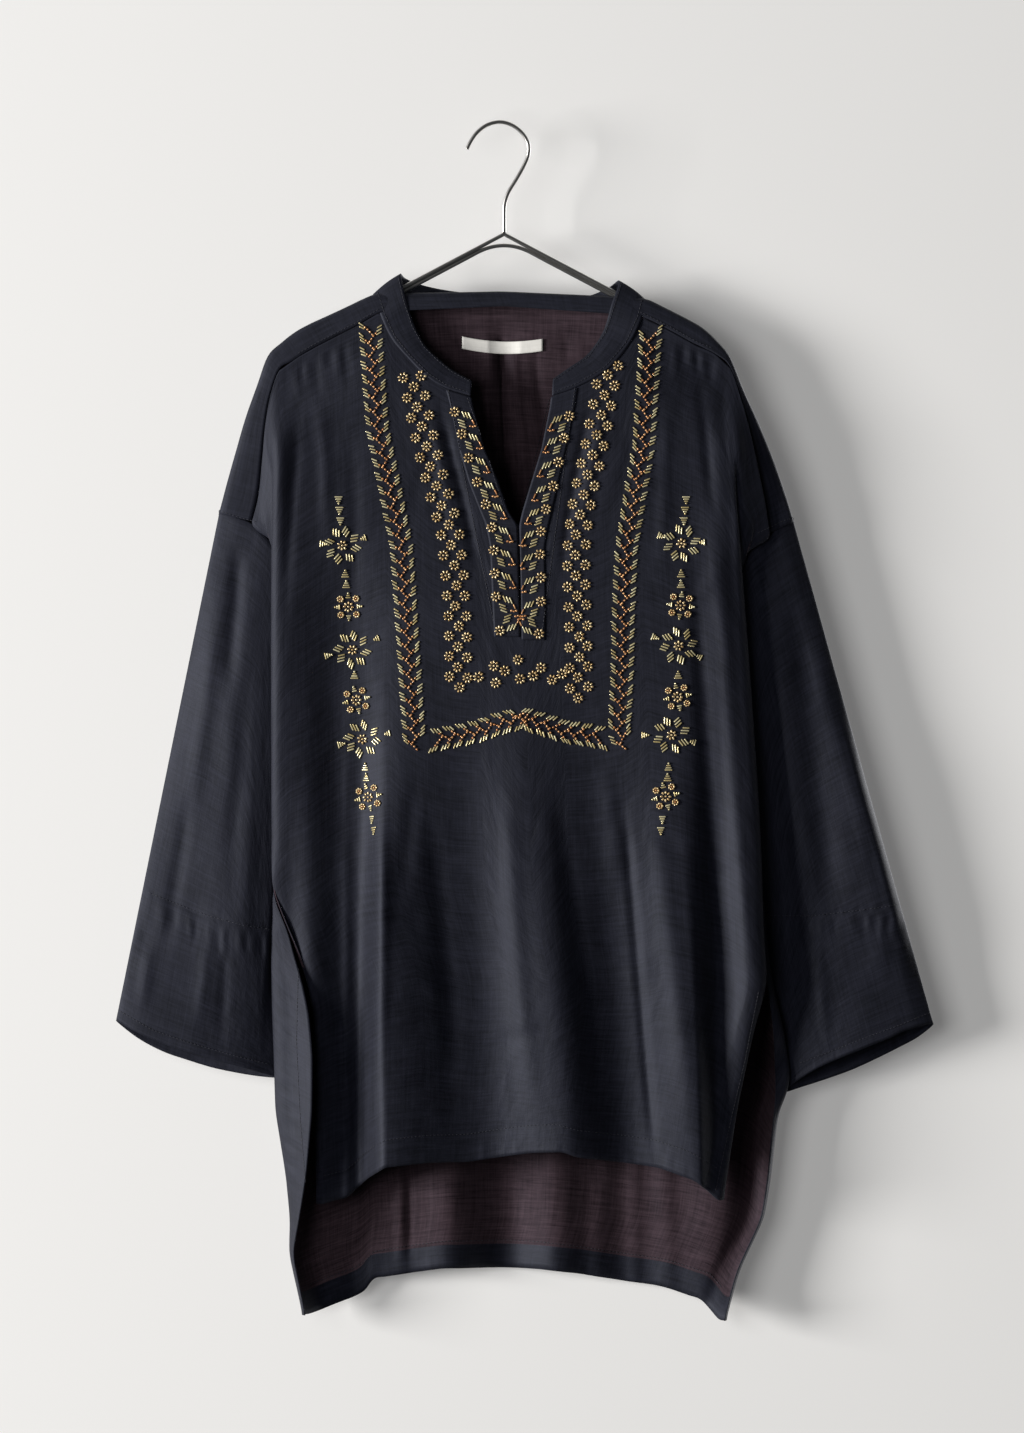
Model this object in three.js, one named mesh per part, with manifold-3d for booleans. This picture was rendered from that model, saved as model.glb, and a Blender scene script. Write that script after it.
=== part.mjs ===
// A loose embroidered top hanging flat on a wire hanger. Millimetres, +Z up, front towards -Y.
// Every cloth piece is a thin closed wall made from a grid of points on its outer face.
import * as THREE from 'three';
import { mergeVertices } from 'three/addons/utils/BufferGeometryUtils.js';
import Module from 'manifold-3d';

const wasm = await Module();
wasm.setup();

// ---- driving dimensions -------------------------------------------------------------------
const WALL = 1.2; // cloth with its seam allowances
const STRIP_WALL = 1.0; // placket strips and label
const SEAM_GAP = 0.6; // between pieces that meet at a seam
const TRIM_GAP = 0.5; // left where one piece is trimmed by another
const WIRE = 3.8; // hanger wire diameter
const WIRE_SIDES = 8;
const HOOK_TOP = { x: -3.8, z: 1.4 }; // highest point of the hook's centre line

const ROWS = 21; // cells down a panel
const MAIN = 34; // cells across the flat middle of a panel
const RIDGE_OUT = 6; // depth of the front where it leaves the shoulder
const CHEST_OUT = 24; // further depth reached on the chest
const BACK_OUT = 22;
const DRAPE = 90; // how quickly a panel reaches its depth below the shoulder
const FOLDS_START = -470; // height where the hanging folds begin
const FOLDS_FULL = -860; // and where they are at full depth
const HEM_LEVEL = -1000;

// Shoulder ridge and drop-shoulder outline, left to right.
const RIDGE = [
  { x: -222, z: -220 }, { x: -205, z: -201.5 }, { x: -188, z: -191 }, { x: -151, z: -174 },
  { x: -122, z: -160 }, { x: 0, z: -158 }, { x: 132, z: -164 }, { x: 155, z: -175 },
  { x: 183, z: -189.5 }, { x: 197, z: -200 }, { x: 213, z: -222 },
];
// Forward shoulder seam, where the back's cloth meets the front's.
const FORWARD_SEAM = [
  { x: -211, z: -232 }, { x: -192, z: -218.5 }, { x: -173, z: -208 }, { x: -137, z: -189.5 },
  { x: -116, z: -177 }, { x: 0, z: -172 }, { x: 129, z: -181 }, { x: 155, z: -194 },
  { x: 182, z: -209 }, { x: 197, z: -215 }, { x: 212, z: -229 },
];
// Drop shoulder from the armhole up: seam on the front and outline at the side.
const DROP_LEFT = [
  { seamX: -237, seamZ: -374, sideX: -268, sideZ: -367 },
  { seamX: -231, seamZ: -350, sideX: -261, sideZ: -340 },
  { seamX: -227.5, seamZ: -316, sideX: -252, sideZ: -308 },
  { seamX: -224.5, seamZ: -282, sideX: -243, sideZ: -277 },
  { seamX: -219.5, seamZ: -254, sideX: -232, sideZ: -246 },
];
const DROP_RIGHT = [
  { seamX: 250, seamZ: -385, sideX: 272.5, sideZ: -374.5 },
  { seamX: 246, seamZ: -358, sideX: 264, sideZ: -347 },
  { seamX: 239.5, seamZ: -326, sideX: 252.5, sideZ: -314 },
  { seamX: 231, seamZ: -288, sideX: 239, sideZ: -281 },
  { seamX: 222, seamZ: -255, sideX: 225.5, sideZ: -251 },
];
// Side of the front: the fold one sees, and the seam or free slit edge behind it.
const FRONT_LEFT = [
  { z: -238, fold: -222, edge: -219, depth: -8 }, { z: -284, fold: -222, edge: -224, depth: -8 },
  { z: -318, fold: -217, edge: -227, depth: -8 }, { z: -374, fold: -217, edge: -237, depth: -8 },
  { z: -389, fold: -217.5, edge: -218, depth: -10 }, { z: -448, fold: -218, edge: -208, depth: -9.8 },
  { z: -542, fold: -218, edge: -204, depth: -7.8 }, { z: -630, fold: -218, edge: -206, depth: -6.6 },
  { z: -680, fold: -218, edge: -211, depth: -8 }, { z: -717, fold: -217.5, edge: -216, depth: -13 },
  { z: -732, fold: -212, edge: -211, depth: -14 }, { z: -758, fold: -201.5, edge: -200.5, depth: -15 },
  { z: -775, fold: -196, edge: -193, depth: -12 }, { z: -808, fold: -184, edge: -180, depth: -2 },
  { z: -836, fold: -179, edge: -174, depth: 4 }, { z: -1015, fold: -176, edge: -171, depth: 6 },
];
const FRONT_RIGHT = [
  { z: -238, fold: 218, edge: 221, depth: -8 }, { z: -297, fold: 216, edge: 232, depth: -8 },
  { z: -347, fold: 217, edge: 244, depth: -8 }, { z: -385, fold: 220, edge: 250, depth: -8 },
  { z: -400, fold: 221, edge: 228, depth: -10 }, { z: -448, fold: 225, edge: 217, depth: -9.8 },
  { z: -542, fold: 232, edge: 217, depth: -7.8 }, { z: -630, fold: 238, edge: 225, depth: -6.6 },
  { z: -690, fold: 241, edge: 234, depth: -8 }, { z: -740, fold: 242.5, edge: 239.5, depth: -12 },
  { z: -780, fold: 244.5, edge: 243.5, depth: -15 }, { z: -804, fold: 246.3, edge: 245.3, depth: -16 },
  { z: -822, fold: 242.5, edge: 241.5, depth: -16 }, { z: -852, fold: 234, edge: 233, depth: -15 },
  { z: -923, fold: 219, edge: 217.5, depth: -14 }, { z: -1011, fold: 205.5, edge: 203.5, depth: -14 },
];
// Side of the back: outline, and the seam or the slit edge, which wraps forward on the left.
const BACK_LEFT = [
  { z: -246, fold: -226, edge: -232, depth: 3, turn: 8 },
  { z: -308, fold: -246, edge: -252, depth: 3, turn: 8 },
  { z: -340, fold: -255, edge: -261, depth: 3, turn: 8 },
  { z: -367, fold: -262, edge: -268, depth: 3, turn: 8 },
  { z: -400, fold: -236, edge: -240, depth: 9.6, turn: 14 },
  { z: -448, fold: -219, edge: -211, depth: 9.4, turn: 15 },
  { z: -542, fold: -213, edge: -205, depth: 7.4, turn: 14 },
  { z: -630, fold: -216, edge: -207, depth: 4, turn: 11 },
  { z: -680, fold: -219, edge: -212.5, depth: -1, turn: 6 },
  { z: -717, fold: -221, edge: -218.6, depth: -10.5, turn: -4 },
  { z: -732, fold: -220, edge: -214.8, depth: -12, turn: -5 },
  { z: -758, fold: -219, edge: -203.2, depth: -15, turn: -5 },
  { z: -775, fold: -219, edge: -198.8, depth: -16, turn: -5 },
  { z: -808, fold: -218.5, edge: -189, depth: -21, turn: -5 },
  { z: -836, fold: -218, edge: -183, depth: -25, turn: -5 },
  { z: -875, fold: -216.5, edge: -179.5, depth: -28, turn: -5 },
  { z: -928, fold: -215, edge: -180, depth: -29, turn: -4 },
  { z: -989, fold: -205, edge: -186, depth: -26, turn: -3 },
  { z: -1030, fold: -201, edge: -193, depth: -18, turn: 0 },
  { z: -1062, fold: -202, edge: -199, depth: -8, turn: 2 },
  { z: -1120, fold: -189, edge: -187, depth: -4, turn: 4 },
];
const BACK_RIGHT = [
  { z: -251, fold: 219, edge: 225.5, depth: 3, turn: 8 },
  { z: -314, fold: 246.5, edge: 252.5, depth: 3, turn: 8 },
  { z: -347, fold: 258, edge: 264, depth: 3, turn: 8 },
  { z: -374, fold: 267, edge: 272.5, depth: 3, turn: 8 },
  { z: -405, fold: 244, edge: 247, depth: 9.6, turn: 14 },
  { z: -448, fold: 228, edge: 220, depth: 9.4, turn: 15 },
  { z: -542, fold: 226, edge: 218, depth: 7.4, turn: 14 },
  { z: -630, fold: 235, edge: 226, depth: 4, turn: 11 },
  { z: -690, fold: 241, edge: 235, depth: -2, turn: 5 },
  { z: -740, fold: 244.5, edge: 240.7, depth: -10, turn: -3 },
  { z: -780, fold: 248, edge: 244.7, depth: -13, turn: -5 },
  { z: -804, fold: 251.5, edge: 246.8, depth: -14, turn: -6 },
  { z: -850, fold: 262, edge: 253, depth: -15, turn: -8 },
  { z: -890, fold: 269, edge: 255, depth: -15, turn: -8 },
  { z: -909, fold: 267.5, edge: 255.5, depth: -14, turn: -7 },
  { z: -930, fold: 258, edge: 254.5, depth: -12, turn: -4 },
  { z: -993, fold: 251, edge: 248.5, depth: -9, turn: 0 },
  { z: -1030, fold: 245, edge: 243, depth: -7, turn: 3 },
  { z: -1078, fold: 222, edge: 220, depth: -4, turn: 6 },
  { z: -1126, fold: 208, edge: 206.5, depth: -1, turn: 7 },
];
// Hem heights across the panels.
const FRONT_HEM = [
  { x: -173, z: -1015 }, { x: -146, z: -1009 }, { x: -129, z: -991 }, { x: -112, z: -979 },
  { x: -71, z: -975 }, { x: -35, z: -975 }, { x: 22, z: -966 }, { x: 51, z: -964.5 },
  { x: 67, z: -970 }, { x: 142, z: -980 }, { x: 176, z: -991 }, { x: 205, z: -1010 },
];
const BACK_HEM = [
  { x: -187, z: -1120 }, { x: -168, z: -1113 }, { x: -134, z: -1101 }, { x: -125, z: -1088 },
  { x: -94, z: -1083 }, { x: -56, z: -1077 }, { x: 36, z: -1078.5 }, { x: 65, z: -1082 },
  { x: 111, z: -1090 }, { x: 150, z: -1095 }, { x: 197, z: -1109 }, { x: 207, z: -1125 },
];
// Hanging folds: where each crest or valley runs, and how far it stands out of the panel.
const FRONT_FOLDS = [
  { chest: -205, hem: -205, out: -20 }, { chest: -165, hem: -153, out: -24 },
  { chest: -114, hem: -114, out: 7 }, { chest: -45, hem: -15, out: -10 },
  { chest: 12, hem: 60, out: 9 }, { chest: 78, hem: 115, out: -10 },
  { chest: 158, hem: 183, out: 7 }, { chest: 202, hem: 200, out: -7 },
  { chest: 228, hem: 236, out: 3 },
];
const BACK_FOLDS = [
  { chest: -205, hem: -205, out: 0 }, { chest: -165, hem: -160, out: 4 },
  { chest: -128, hem: -127, out: -5 }, { chest: -90, hem: -92, out: 5 },
  { chest: -45, hem: -52, out: -4 }, { chest: 6, hem: 8, out: 6 }, { chest: 48, hem: 50, out: -3 },
  { chest: 84, hem: 82, out: 5 }, { chest: 124, hem: 122, out: -5 },
  { chest: 166, hem: 160, out: 5 }, { chest: 215, hem: 205, out: -1 },
];
const SHOULDER_DEPTH = -8; // depth of the forward seam
const BEHIND_RIDGE = 4; // depth of the back just behind the ridge,
const RIDGE_DROP = 2.5; // this far below it
const NECK_X = 5;
const NECK_HALF = 125;
const NECK_OUT = 11; // how far the back neck stands behind the ridge
const FAN = 70; // length over which columns spread from the shoulder to their places,
const DROP_FAN = 18; // and from the drop shoulder
const PLEAT = { x: 0, half: 15, out: 4, top: -187, end: -470 }; // centre back pleat
// Collar band: seam on the panels and free top edge, from the left front end round the back.
const COLLAR = [
  { on: 'front', seamX: -31, seamZ: -256, topX: -30, topY: -17, topZ: -243 },
  { on: 'front', seamX: -55, seamZ: -248.5, topX: -49, topY: -15, topZ: -232 },
  { on: 'front', seamX: -72, seamZ: -238, topX: -60, topY: -13, topZ: -223 },
  { on: 'front', seamX: -90, seamZ: -220, topX: -74, topY: -10, topZ: -209 },
  { on: 'front', seamX: -105, seamZ: -202, topX: -84, topY: -8, topZ: -190 },
  { on: 'front', seamX: -115, seamZ: -181, topX: -92, topY: -7, topZ: -165 },
  { on: 'ridge', seamX: -122, seamZ: -160, topX: -97, topY: 0, topZ: -141.5 },
  { on: 'back', seamX: -108, seamZ: -171, topX: -93, topY: 10, topZ: -145 },
  { on: 'back', seamX: -85, seamZ: -178, topX: -78, topY: 15, topZ: -151 },
  { on: 'back', seamX: -51, seamZ: -183, topX: -48, topY: 18, topZ: -157 },
  { on: 'back', seamX: -1, seamZ: -187.5, topX: -1, topY: 20, topZ: -161 },
  { on: 'back', seamX: 41, seamZ: -187.5, topX: 41, topY: 20, topZ: -163 },
  { on: 'back', seamX: 79, seamZ: -185, topX: 79, topY: 17, topZ: -161.5 },
  { on: 'back', seamX: 109, seamZ: -178, topX: 98, topY: 12, topZ: -154 },
  { on: 'ridge', seamX: 133, seamZ: -166, topX: 108, topY: 0, topZ: -148 },
  { on: 'front', seamX: 129, seamZ: -183, topX: 101, topY: -7, topZ: -170 },
  { on: 'front', seamX: 117, seamZ: -208, topX: 93, topY: -8, topZ: -196 },
  { on: 'front', seamX: 97, seamZ: -231, topX: 78, topY: -11, topZ: -218 },
  { on: 'front', seamX: 70, seamZ: -247, topX: 60, topY: -14, topZ: -231 },
  { on: 'front', seamX: 45, seamZ: -256, topX: 46, topY: -17, topZ: -241 },
];
// Neck slit: inner edges and outer edges of the placket strips, by height.
const SLIT = [
  { z: -249, left: -32, right: 45, outerLeft: -55, outerRight: 69 },
  { z: -267, left: -29, right: 43, outerLeft: -50, outerRight: 66.5 },
  { z: -307, left: -18, right: 35, outerLeft: -42, outerRight: 58 },
  { z: -338, left: -5, right: 25.5, outerLeft: -33, outerRight: 51 },
  { z: -366, left: 4.5, right: 17, outerLeft: -22, outerRight: 45 },
  { z: -378, left: 12.8, right: 14.4, outerLeft: -17, outerRight: 42 },
  { z: -398, left: 13.4, right: 15, outerLeft: -13, outerRight: 38 },
  { z: -447, left: 14.4, right: 16, outerLeft: -11, outerRight: 39 },
  { z: -486, left: 15, right: 16.6, outerLeft: -9, outerRight: 38.5 },
];
const SLIT_END = -466;
// Armhole round the top of a sleeve, then its cuff, both from the outer point across the front.
const SLEEVE_LEFT = [
  { x: -268, y: 0, z: -367.5, cuffX: -365, cuffY: 5, cuffZ: -843.5 },
  { x: -252, y: -6, z: -374, cuffX: -348, cuffY: -1, cuffZ: -853 },
  { x: -237, y: -8, z: -380, cuffX: -330, cuffY: -3, cuffZ: -861 },
  { x: -226, y: -9.5, z: -390, cuffX: -312, cuffY: -4, cuffZ: -868 },
  { x: -216.5, y: -9.5, z: -402, cuffX: -294, cuffY: -5, cuffZ: -873.5 },
  { x: -207.5, y: -9, z: -450, cuffX: -272, cuffY: -4, cuffZ: -880 },
  { x: -204.8, y: -7, z: -542, cuffX: -250, cuffY: -2, cuffZ: -886 },
  { x: -207.5, y: -5, z: -630, cuffX: -230, cuffY: 3, cuffZ: -892 },
  { x: -218.5, y: 2, z: -704, cuffX: -214.5, cuffY: 9, cuffZ: -897 },
  { x: -209, y: 2.5, z: -630, cuffX: -231, cuffY: 12, cuffZ: -896 },
  { x: -206, y: 6, z: -542, cuffX: -251, cuffY: 14, cuffZ: -893 },
  { x: -212, y: 8, z: -450, cuffX: -275, cuffY: 15, cuffZ: -888 },
  { x: -227, y: 8.6, z: -420, cuffX: -298, cuffY: 15, cuffZ: -881 },
  { x: -242, y: 7.6, z: -405, cuffX: -321, cuffY: 14, cuffZ: -873 },
  { x: -257, y: 5, z: -387, cuffX: -345, cuffY: 11, cuffZ: -860 },
];
const SLEEVE_RIGHT = [
  { x: 272.5, y: 0, z: -375, cuffX: 404, cuffY: 5, cuffZ: -846.5 },
  { x: 262, y: -6, z: -381, cuffX: 391, cuffY: -1, cuffZ: -849 },
  { x: 250, y: -8, z: -391, cuffX: 377, cuffY: -3, cuffZ: -853 },
  { x: 239, y: -9.5, z: -400, cuffX: 362, cuffY: -4, cuffZ: -860 },
  { x: 228, y: -9.5, z: -411, cuffX: 344, cuffY: -5, cuffZ: -867 },
  { x: 217, y: -9, z: -452, cuffX: 323, cuffY: -4, cuffZ: -875.5 },
  { x: 218, y: -7, z: -542, cuffX: 302, cuffY: -1, cuffZ: -884.5 },
  { x: 226.5, y: -5, z: -630, cuffX: 282, cuffY: 4, cuffZ: -896 },
  { x: 239, y: 2, z: -706, cuffX: 263.5, cuffY: 12, cuffZ: -911 },
  { x: 228, y: 2.5, z: -630, cuffX: 281, cuffY: 14, cuffZ: -906 },
  { x: 219, y: 6, z: -542, cuffX: 303, cuffY: 15, cuffZ: -899 },
  { x: 221, y: 8, z: -452, cuffX: 328, cuffY: 15, cuffZ: -890 },
  { x: 235, y: 8.6, z: -424, cuffX: 350, cuffY: 15, cuffZ: -880 },
  { x: 248, y: 7.6, z: -409, cuffX: 371, cuffY: 14, cuffZ: -869.5 },
  { x: 263, y: 5, z: -390, cuffX: 390, cuffY: 11, cuffZ: -859 },
];
const SLEEVE_RINGS = 13;
const SLEEVE_ROUND = 28;
const SLEEVE_FULLNESS = 6; // extra half depth in the middle of a sleeve

const LABEL_OFF = WALL + STRIP_WALL + 1.3; // label's face in front of the back's outer face
const LABEL = { x: -1.5, z: -206.5, width: 76, height: 11.5, tilt: 0.03 };

// ---- small helpers ------------------------------------------------------------------------
const lerp = (a, b, t) => a + (b - a) * t;
const ease = (t) => {
  const clamped = Math.min(1, Math.max(0, t));
  return clamped * clamped * (3 - 2 * clamped);
};

// Value of one column of a table at a place along its key column.
function lookUp(table, key, column, at) {
  const rising = table[table.length - 1][key] > table[0][key];
  const rows = rising ? table : [...table].reverse();
  if (at <= rows[0][key]) return rows[0][column];
  for (let i = 1; i < rows.length; i += 1) {
    if (at <= rows[i][key]) {
      const t = (at - rows[i - 1][key]) / (rows[i][key] - rows[i - 1][key]);
      return lerp(rows[i - 1][column], rows[i][column], t);
    }
  }
  return rows[rows.length - 1][column];
}

// Smooth wave through the crests and valleys of a table of folds.
function foldWave(folds, x, z) {
  const down = ease((FOLDS_START - z) / (FOLDS_START - HEM_LEVEL));
  const places = folds.map((fold) => lerp(fold.chest, fold.hem, down));
  const strength = ease((FOLDS_START - z) / (FOLDS_START - FOLDS_FULL));
  if (x <= places[0]) return folds[0].out * strength;
  for (let i = 1; i < folds.length; i += 1) {
    if (x <= places[i]) {
      const t = ease((x - places[i - 1]) / (places[i] - places[i - 1]));
      return lerp(folds[i - 1].out, folds[i].out, t) * strength;
    }
  }
  return folds[folds.length - 1].out * strength;
}

function frontDepth(x, z) {
  const below = Math.max(0, lookUp(RIDGE, 'x', 'z', x) - z);
  const hang = RIDGE_OUT + CHEST_OUT * (1 - Math.exp(-below / DRAPE));
  return -hang - foldWave(FRONT_FOLDS, x, z);
}

function backDepth(x, z) {
  const below = Math.max(0, lookUp(RIDGE, 'x', 'z', x) - z);
  const hang = 4 + BACK_OUT * (1 - Math.exp(-below / DRAPE));
  const across = Math.max(0, 1 - ((x - PLEAT.x) / PLEAT.half) ** 2);
  const pleat = PLEAT.out * across * ease((z - PLEAT.end) / (PLEAT.top - PLEAT.end));
  return hang + pleat + foldWave(BACK_FOLDS, x, z);
}

// Depth of the finished panels, which leave the shoulder at one depth and fall to their own.
function frontFace(x, z) {
  const below = lookUp(FORWARD_SEAM, 'x', 'z', x) - z;
  return lerp(SHOULDER_DEPTH, frontDepth(x, z), ease(below / FAN));
}

function backStart(x) {
  return BEHIND_RIDGE + NECK_OUT * Math.max(0, 1 - ((x - NECK_X) / NECK_HALF) ** 2);
}

function backFace(x, z) {
  const below = lookUp(RIDGE, 'x', 'z', x) - RIDGE_DROP - z;
  return lerp(backStart(x), backDepth(x, z), ease(below / FAN));
}

// ---- walls --------------------------------------------------------------------------------
// Outward unit normals of a grid of points. side is +1 where row x column points outwards.
function gridNormals(grid, side, wraps) {
  const last = grid.length - 1;
  const width = grid[0].length;
  return grid.map((row, r) => row.map((_, c) => {
    const left = wraps ? (c + width - 1) % width : Math.max(0, c - 1);
    const right = wraps ? (c + 1) % width : Math.min(width - 1, c + 1);
    const along = grid[Math.min(last, r + 1)][c].clone().sub(grid[Math.max(0, r - 1)][c]);
    const across = row[right].clone().sub(row[left]);
    return along.cross(across).normalize().multiplyScalar(side);
  }));
}

// Closed wall of even thickness behind a grid, open at its rims where it is a tube.
// grow makes it fatter on both faces, for trimming a neighbour.
function wallGeometry(grid, { side = 1, thickness = WALL, wraps = false, grow = 0 } = {}) {
  const height = grid.length;
  const width = grid[0].length;
  const normals = gridNormals(grid, side, wraps);
  const layer = (offset) => grid.map((row, r) => row.map((point, c) => (
    point.clone().addScaledVector(normals[r][c], offset)))).flat();
  const outer = layer(grow);
  const points = [...outer, ...layer(-thickness - grow)];
  const faces = [];
  const quad = (a, b, c, d) => {
    if (side > 0) faces.push(a, b, c, a, c, d);
    else faces.push(a, c, b, a, d, c);
  };
  const at = (r, c, deep) => deep * outer.length + r * width + (c % width);
  const cells = wraps ? width : width - 1;
  for (let r = 0; r < height - 1; r += 1) {
    for (let c = 0; c < cells; c += 1) {
      quad(at(r, c, 0), at(r + 1, c, 0), at(r + 1, c + 1, 0), at(r, c + 1, 0));
      quad(at(r, c, 1), at(r, c + 1, 1), at(r + 1, c + 1, 1), at(r + 1, c, 1));
    }
  }
  for (let c = 0; c < cells; c += 1) {
    quad(at(0, c, 1), at(0, c, 0), at(0, c + 1, 0), at(0, c + 1, 1));
    quad(at(height - 1, c, 0), at(height - 1, c, 1), at(height - 1, c + 1, 1), at(height - 1, c + 1, 0));
  }
  if (!wraps) {
    for (let r = 0; r < height - 1; r += 1) {
      quad(at(r, 0, 1), at(r + 1, 0, 1), at(r + 1, 0, 0), at(r, 0, 0));
      quad(at(r, cells, 0), at(r + 1, cells, 0), at(r + 1, cells, 1), at(r, cells, 1));
    }
  }
  const geometry = new THREE.BufferGeometry();
  const numbers = points.flatMap((point) => [point.x, point.y, point.z]);
  geometry.setAttribute('position', new THREE.Float32BufferAttribute(numbers, 3));
  geometry.setIndex(faces);
  return geometry;
}

function toSolid(geometry) {
  const bare = geometry.clone();
  bare.deleteAttribute('normal');
  bare.deleteAttribute('uv');
  const merged = mergeVertices(bare);
  return new wasm.Manifold(new wasm.Mesh({
    numProp: 3,
    vertProperties: new Float32Array(merged.attributes.position.array),
    triVerts: new Uint32Array(merged.index.array),
  }));
}

function toGeometry(solid) {
  const mesh = solid.getMesh();
  const geometry = new THREE.BufferGeometry();
  geometry.setAttribute('position', new THREE.Float32BufferAttribute(mesh.vertProperties, 3));
  geometry.setIndex([...mesh.triVerts]);
  return geometry;
}

// Straight cutter through the depth of the garment, from an outline in X and Z.
function cutter(outline, fromY, toY) {
  const shape = new THREE.Shape(outline.map(([x, z]) => new THREE.Vector2(x, z)));
  const prism = new THREE.ExtrudeGeometry(shape, { depth: toY - fromY, bevelEnabled: false });
  prism.rotateX(Math.PI / 2);
  prism.translate(0, toY, 0);
  return toSolid(prism);
}

const cloth = (color) => new THREE.MeshStandardMaterial({ color, roughness: 0.8, metalness: 0 });
const steel = new THREE.MeshStandardMaterial({ color: 0x8c8a86, roughness: 0.35, metalness: 1 });

function piece(name, geometry, material) {
  geometry.computeVertexNormals();
  const mesh = new THREE.Mesh(geometry, material);
  mesh.name = name;
  return mesh;
}

// ---- panels -------------------------------------------------------------------------------
// Across a panel: 5 columns of the left side, the flat middle, 5 columns of the right side.
const SIDE_COLUMNS = DROP_LEFT.length;
const COLUMNS = MAIN + 1 + 2 * SIDE_COLUMNS;
const TURN = 18; // width over which a panel turns round at its side
const isSide = (c) => c < SIDE_COLUMNS || c >= COLUMNS - SIDE_COLUMNS;

// Where a column starts on the forward seam, with its outline point on the shoulder.
function columnTop(c) {
  const fromRight = COLUMNS - 1 - c;
  const drop = c < SIDE_COLUMNS ? DROP_LEFT[c] : DROP_RIGHT[fromRight];
  if (isSide(c)) {
    return { seam: [drop.seamX, drop.seamZ], side: [drop.sideX, drop.sideZ] };
  }
  const u = (c - SIDE_COLUMNS) / MAIN;
  const x = lerp(FORWARD_SEAM[0].x, FORWARD_SEAM[FORWARD_SEAM.length - 1].x, u);
  const ridgeX = lerp(RIDGE[0].x, RIDGE[RIDGE.length - 1].x, u);
  return {
    seam: [x, lookUp(FORWARD_SEAM, 'x', 'z', x)],
    side: [ridgeX, lookUp(RIDGE, 'x', 'z', ridgeX)],
  };
}

// Place across the front at one height, as x and depth.
function frontAcross(c, z) {
  const left = c < SIDE_COLUMNS;
  const right = c >= COLUMNS - SIDE_COLUMNS;
  const foldLeft = lookUp(FRONT_LEFT, 'z', 'fold', z);
  const foldRight = lookUp(FRONT_RIGHT, 'z', 'fold', z);
  if (!left && !right) {
    const x = lerp(foldLeft + TURN, foldRight - TURN, (c - SIDE_COLUMNS) / MAIN);
    return [x, frontDepth(x, z)];
  }
  const table = left ? FRONT_LEFT : FRONT_RIGHT;
  const inward = left ? 1 : -1;
  const fold = left ? foldLeft : foldRight;
  const edge = lookUp(table, 'z', 'edge', z);
  const depth = lookUp(table, 'z', 'depth', z);
  const face = frontDepth(fold + inward * TURN, z);
  const step = left ? c : COLUMNS - 1 - c;
  const turn = Math.max(4, Math.min(12, depth - face));
  if (step === 0) return [edge, depth];
  if (step === 1) return [lerp(edge, fold, 0.5), lerp(depth, face + turn, 0.4)];
  if (step === 2) return [fold + inward * 0.8, face + turn * 0.85];
  if (step === 3) return [fold, face + turn * 0.5];
  return [fold + inward * 6, face + turn * 0.1];
}

// Place across the back at one height, as x and depth.
function backAcross(c, z) {
  const left = c < SIDE_COLUMNS;
  const right = c >= COLUMNS - SIDE_COLUMNS;
  const foldLeft = lookUp(BACK_LEFT, 'z', 'fold', z);
  const foldRight = lookUp(BACK_RIGHT, 'z', 'fold', z);
  if (!left && !right) {
    const x = lerp(foldLeft + TURN, foldRight - TURN, (c - SIDE_COLUMNS) / MAIN);
    return [x, backDepth(x, z)];
  }
  const table = left ? BACK_LEFT : BACK_RIGHT;
  const inward = left ? 1 : -1;
  const fold = left ? foldLeft : foldRight;
  const edge = lookUp(table, 'z', 'edge', z);
  const depth = lookUp(table, 'z', 'depth', z);
  const turn = lookUp(table, 'z', 'turn', z);
  const face = backDepth(fold + inward * TURN, z);
  const step = left ? c : COLUMNS - 1 - c;
  if (step === 0) return [edge, depth];
  if (step === 1) return [lerp(edge, fold, 0.45), lerp(depth, turn - 5, 0.55)];
  if (step === 2) return [lerp(edge, fold, 0.85), lerp(depth, turn - 3, 0.9)];
  if (step === 3) return [fold, turn + 2];
  return [fold + inward * 6, lerp(turn, face, 0.5)];
}


function frontGrid() {
  const grid = [];
  for (let r = 0; r <= ROWS; r += 1) {
    const row = [];
    for (let c = 0; c < COLUMNS; c += 1) {
      const [seamX, seamZ] = columnTop(c).seam;
      const inward = c < COLUMNS / 2 ? 1 : -1;
      const topX = seamX + (isSide(c) ? inward * SEAM_GAP : 0);
      const topZ = seamZ - SEAM_GAP;
      const hemX = frontAcross(c, HEM_LEVEL)[0];
      const hemZ = lookUp(FRONT_HEM, 'x', 'z', hemX);
      const z = lerp(topZ, hemZ, (r / ROWS) ** 1.15);
      const [x, y] = frontAcross(c, z);
      const spread = ease((topZ - z) / (isSide(c) ? DROP_FAN : FAN));
      row.push(new THREE.Vector3(lerp(topX, x, spread), lerp(SHOULDER_DEPTH, y, spread), z));
    }
    grid.push(row);
  }
  return grid;
}

// Rows over the shoulder: share of the way from seam to ridge, then drops behind the ridge.
const OVER_SHOULDER = [
  { up: 0, y: SHOULDER_DEPTH, drop: 0 }, { up: 0.72, y: -6, drop: 0 },
  { up: 0.96, y: -3.5, drop: 0 }, { up: 1, y: 0, drop: 0 },
  { up: 1, y: BEHIND_RIDGE, drop: RIDGE_DROP },
];
const BACK_LEVEL = -1090;

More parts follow.
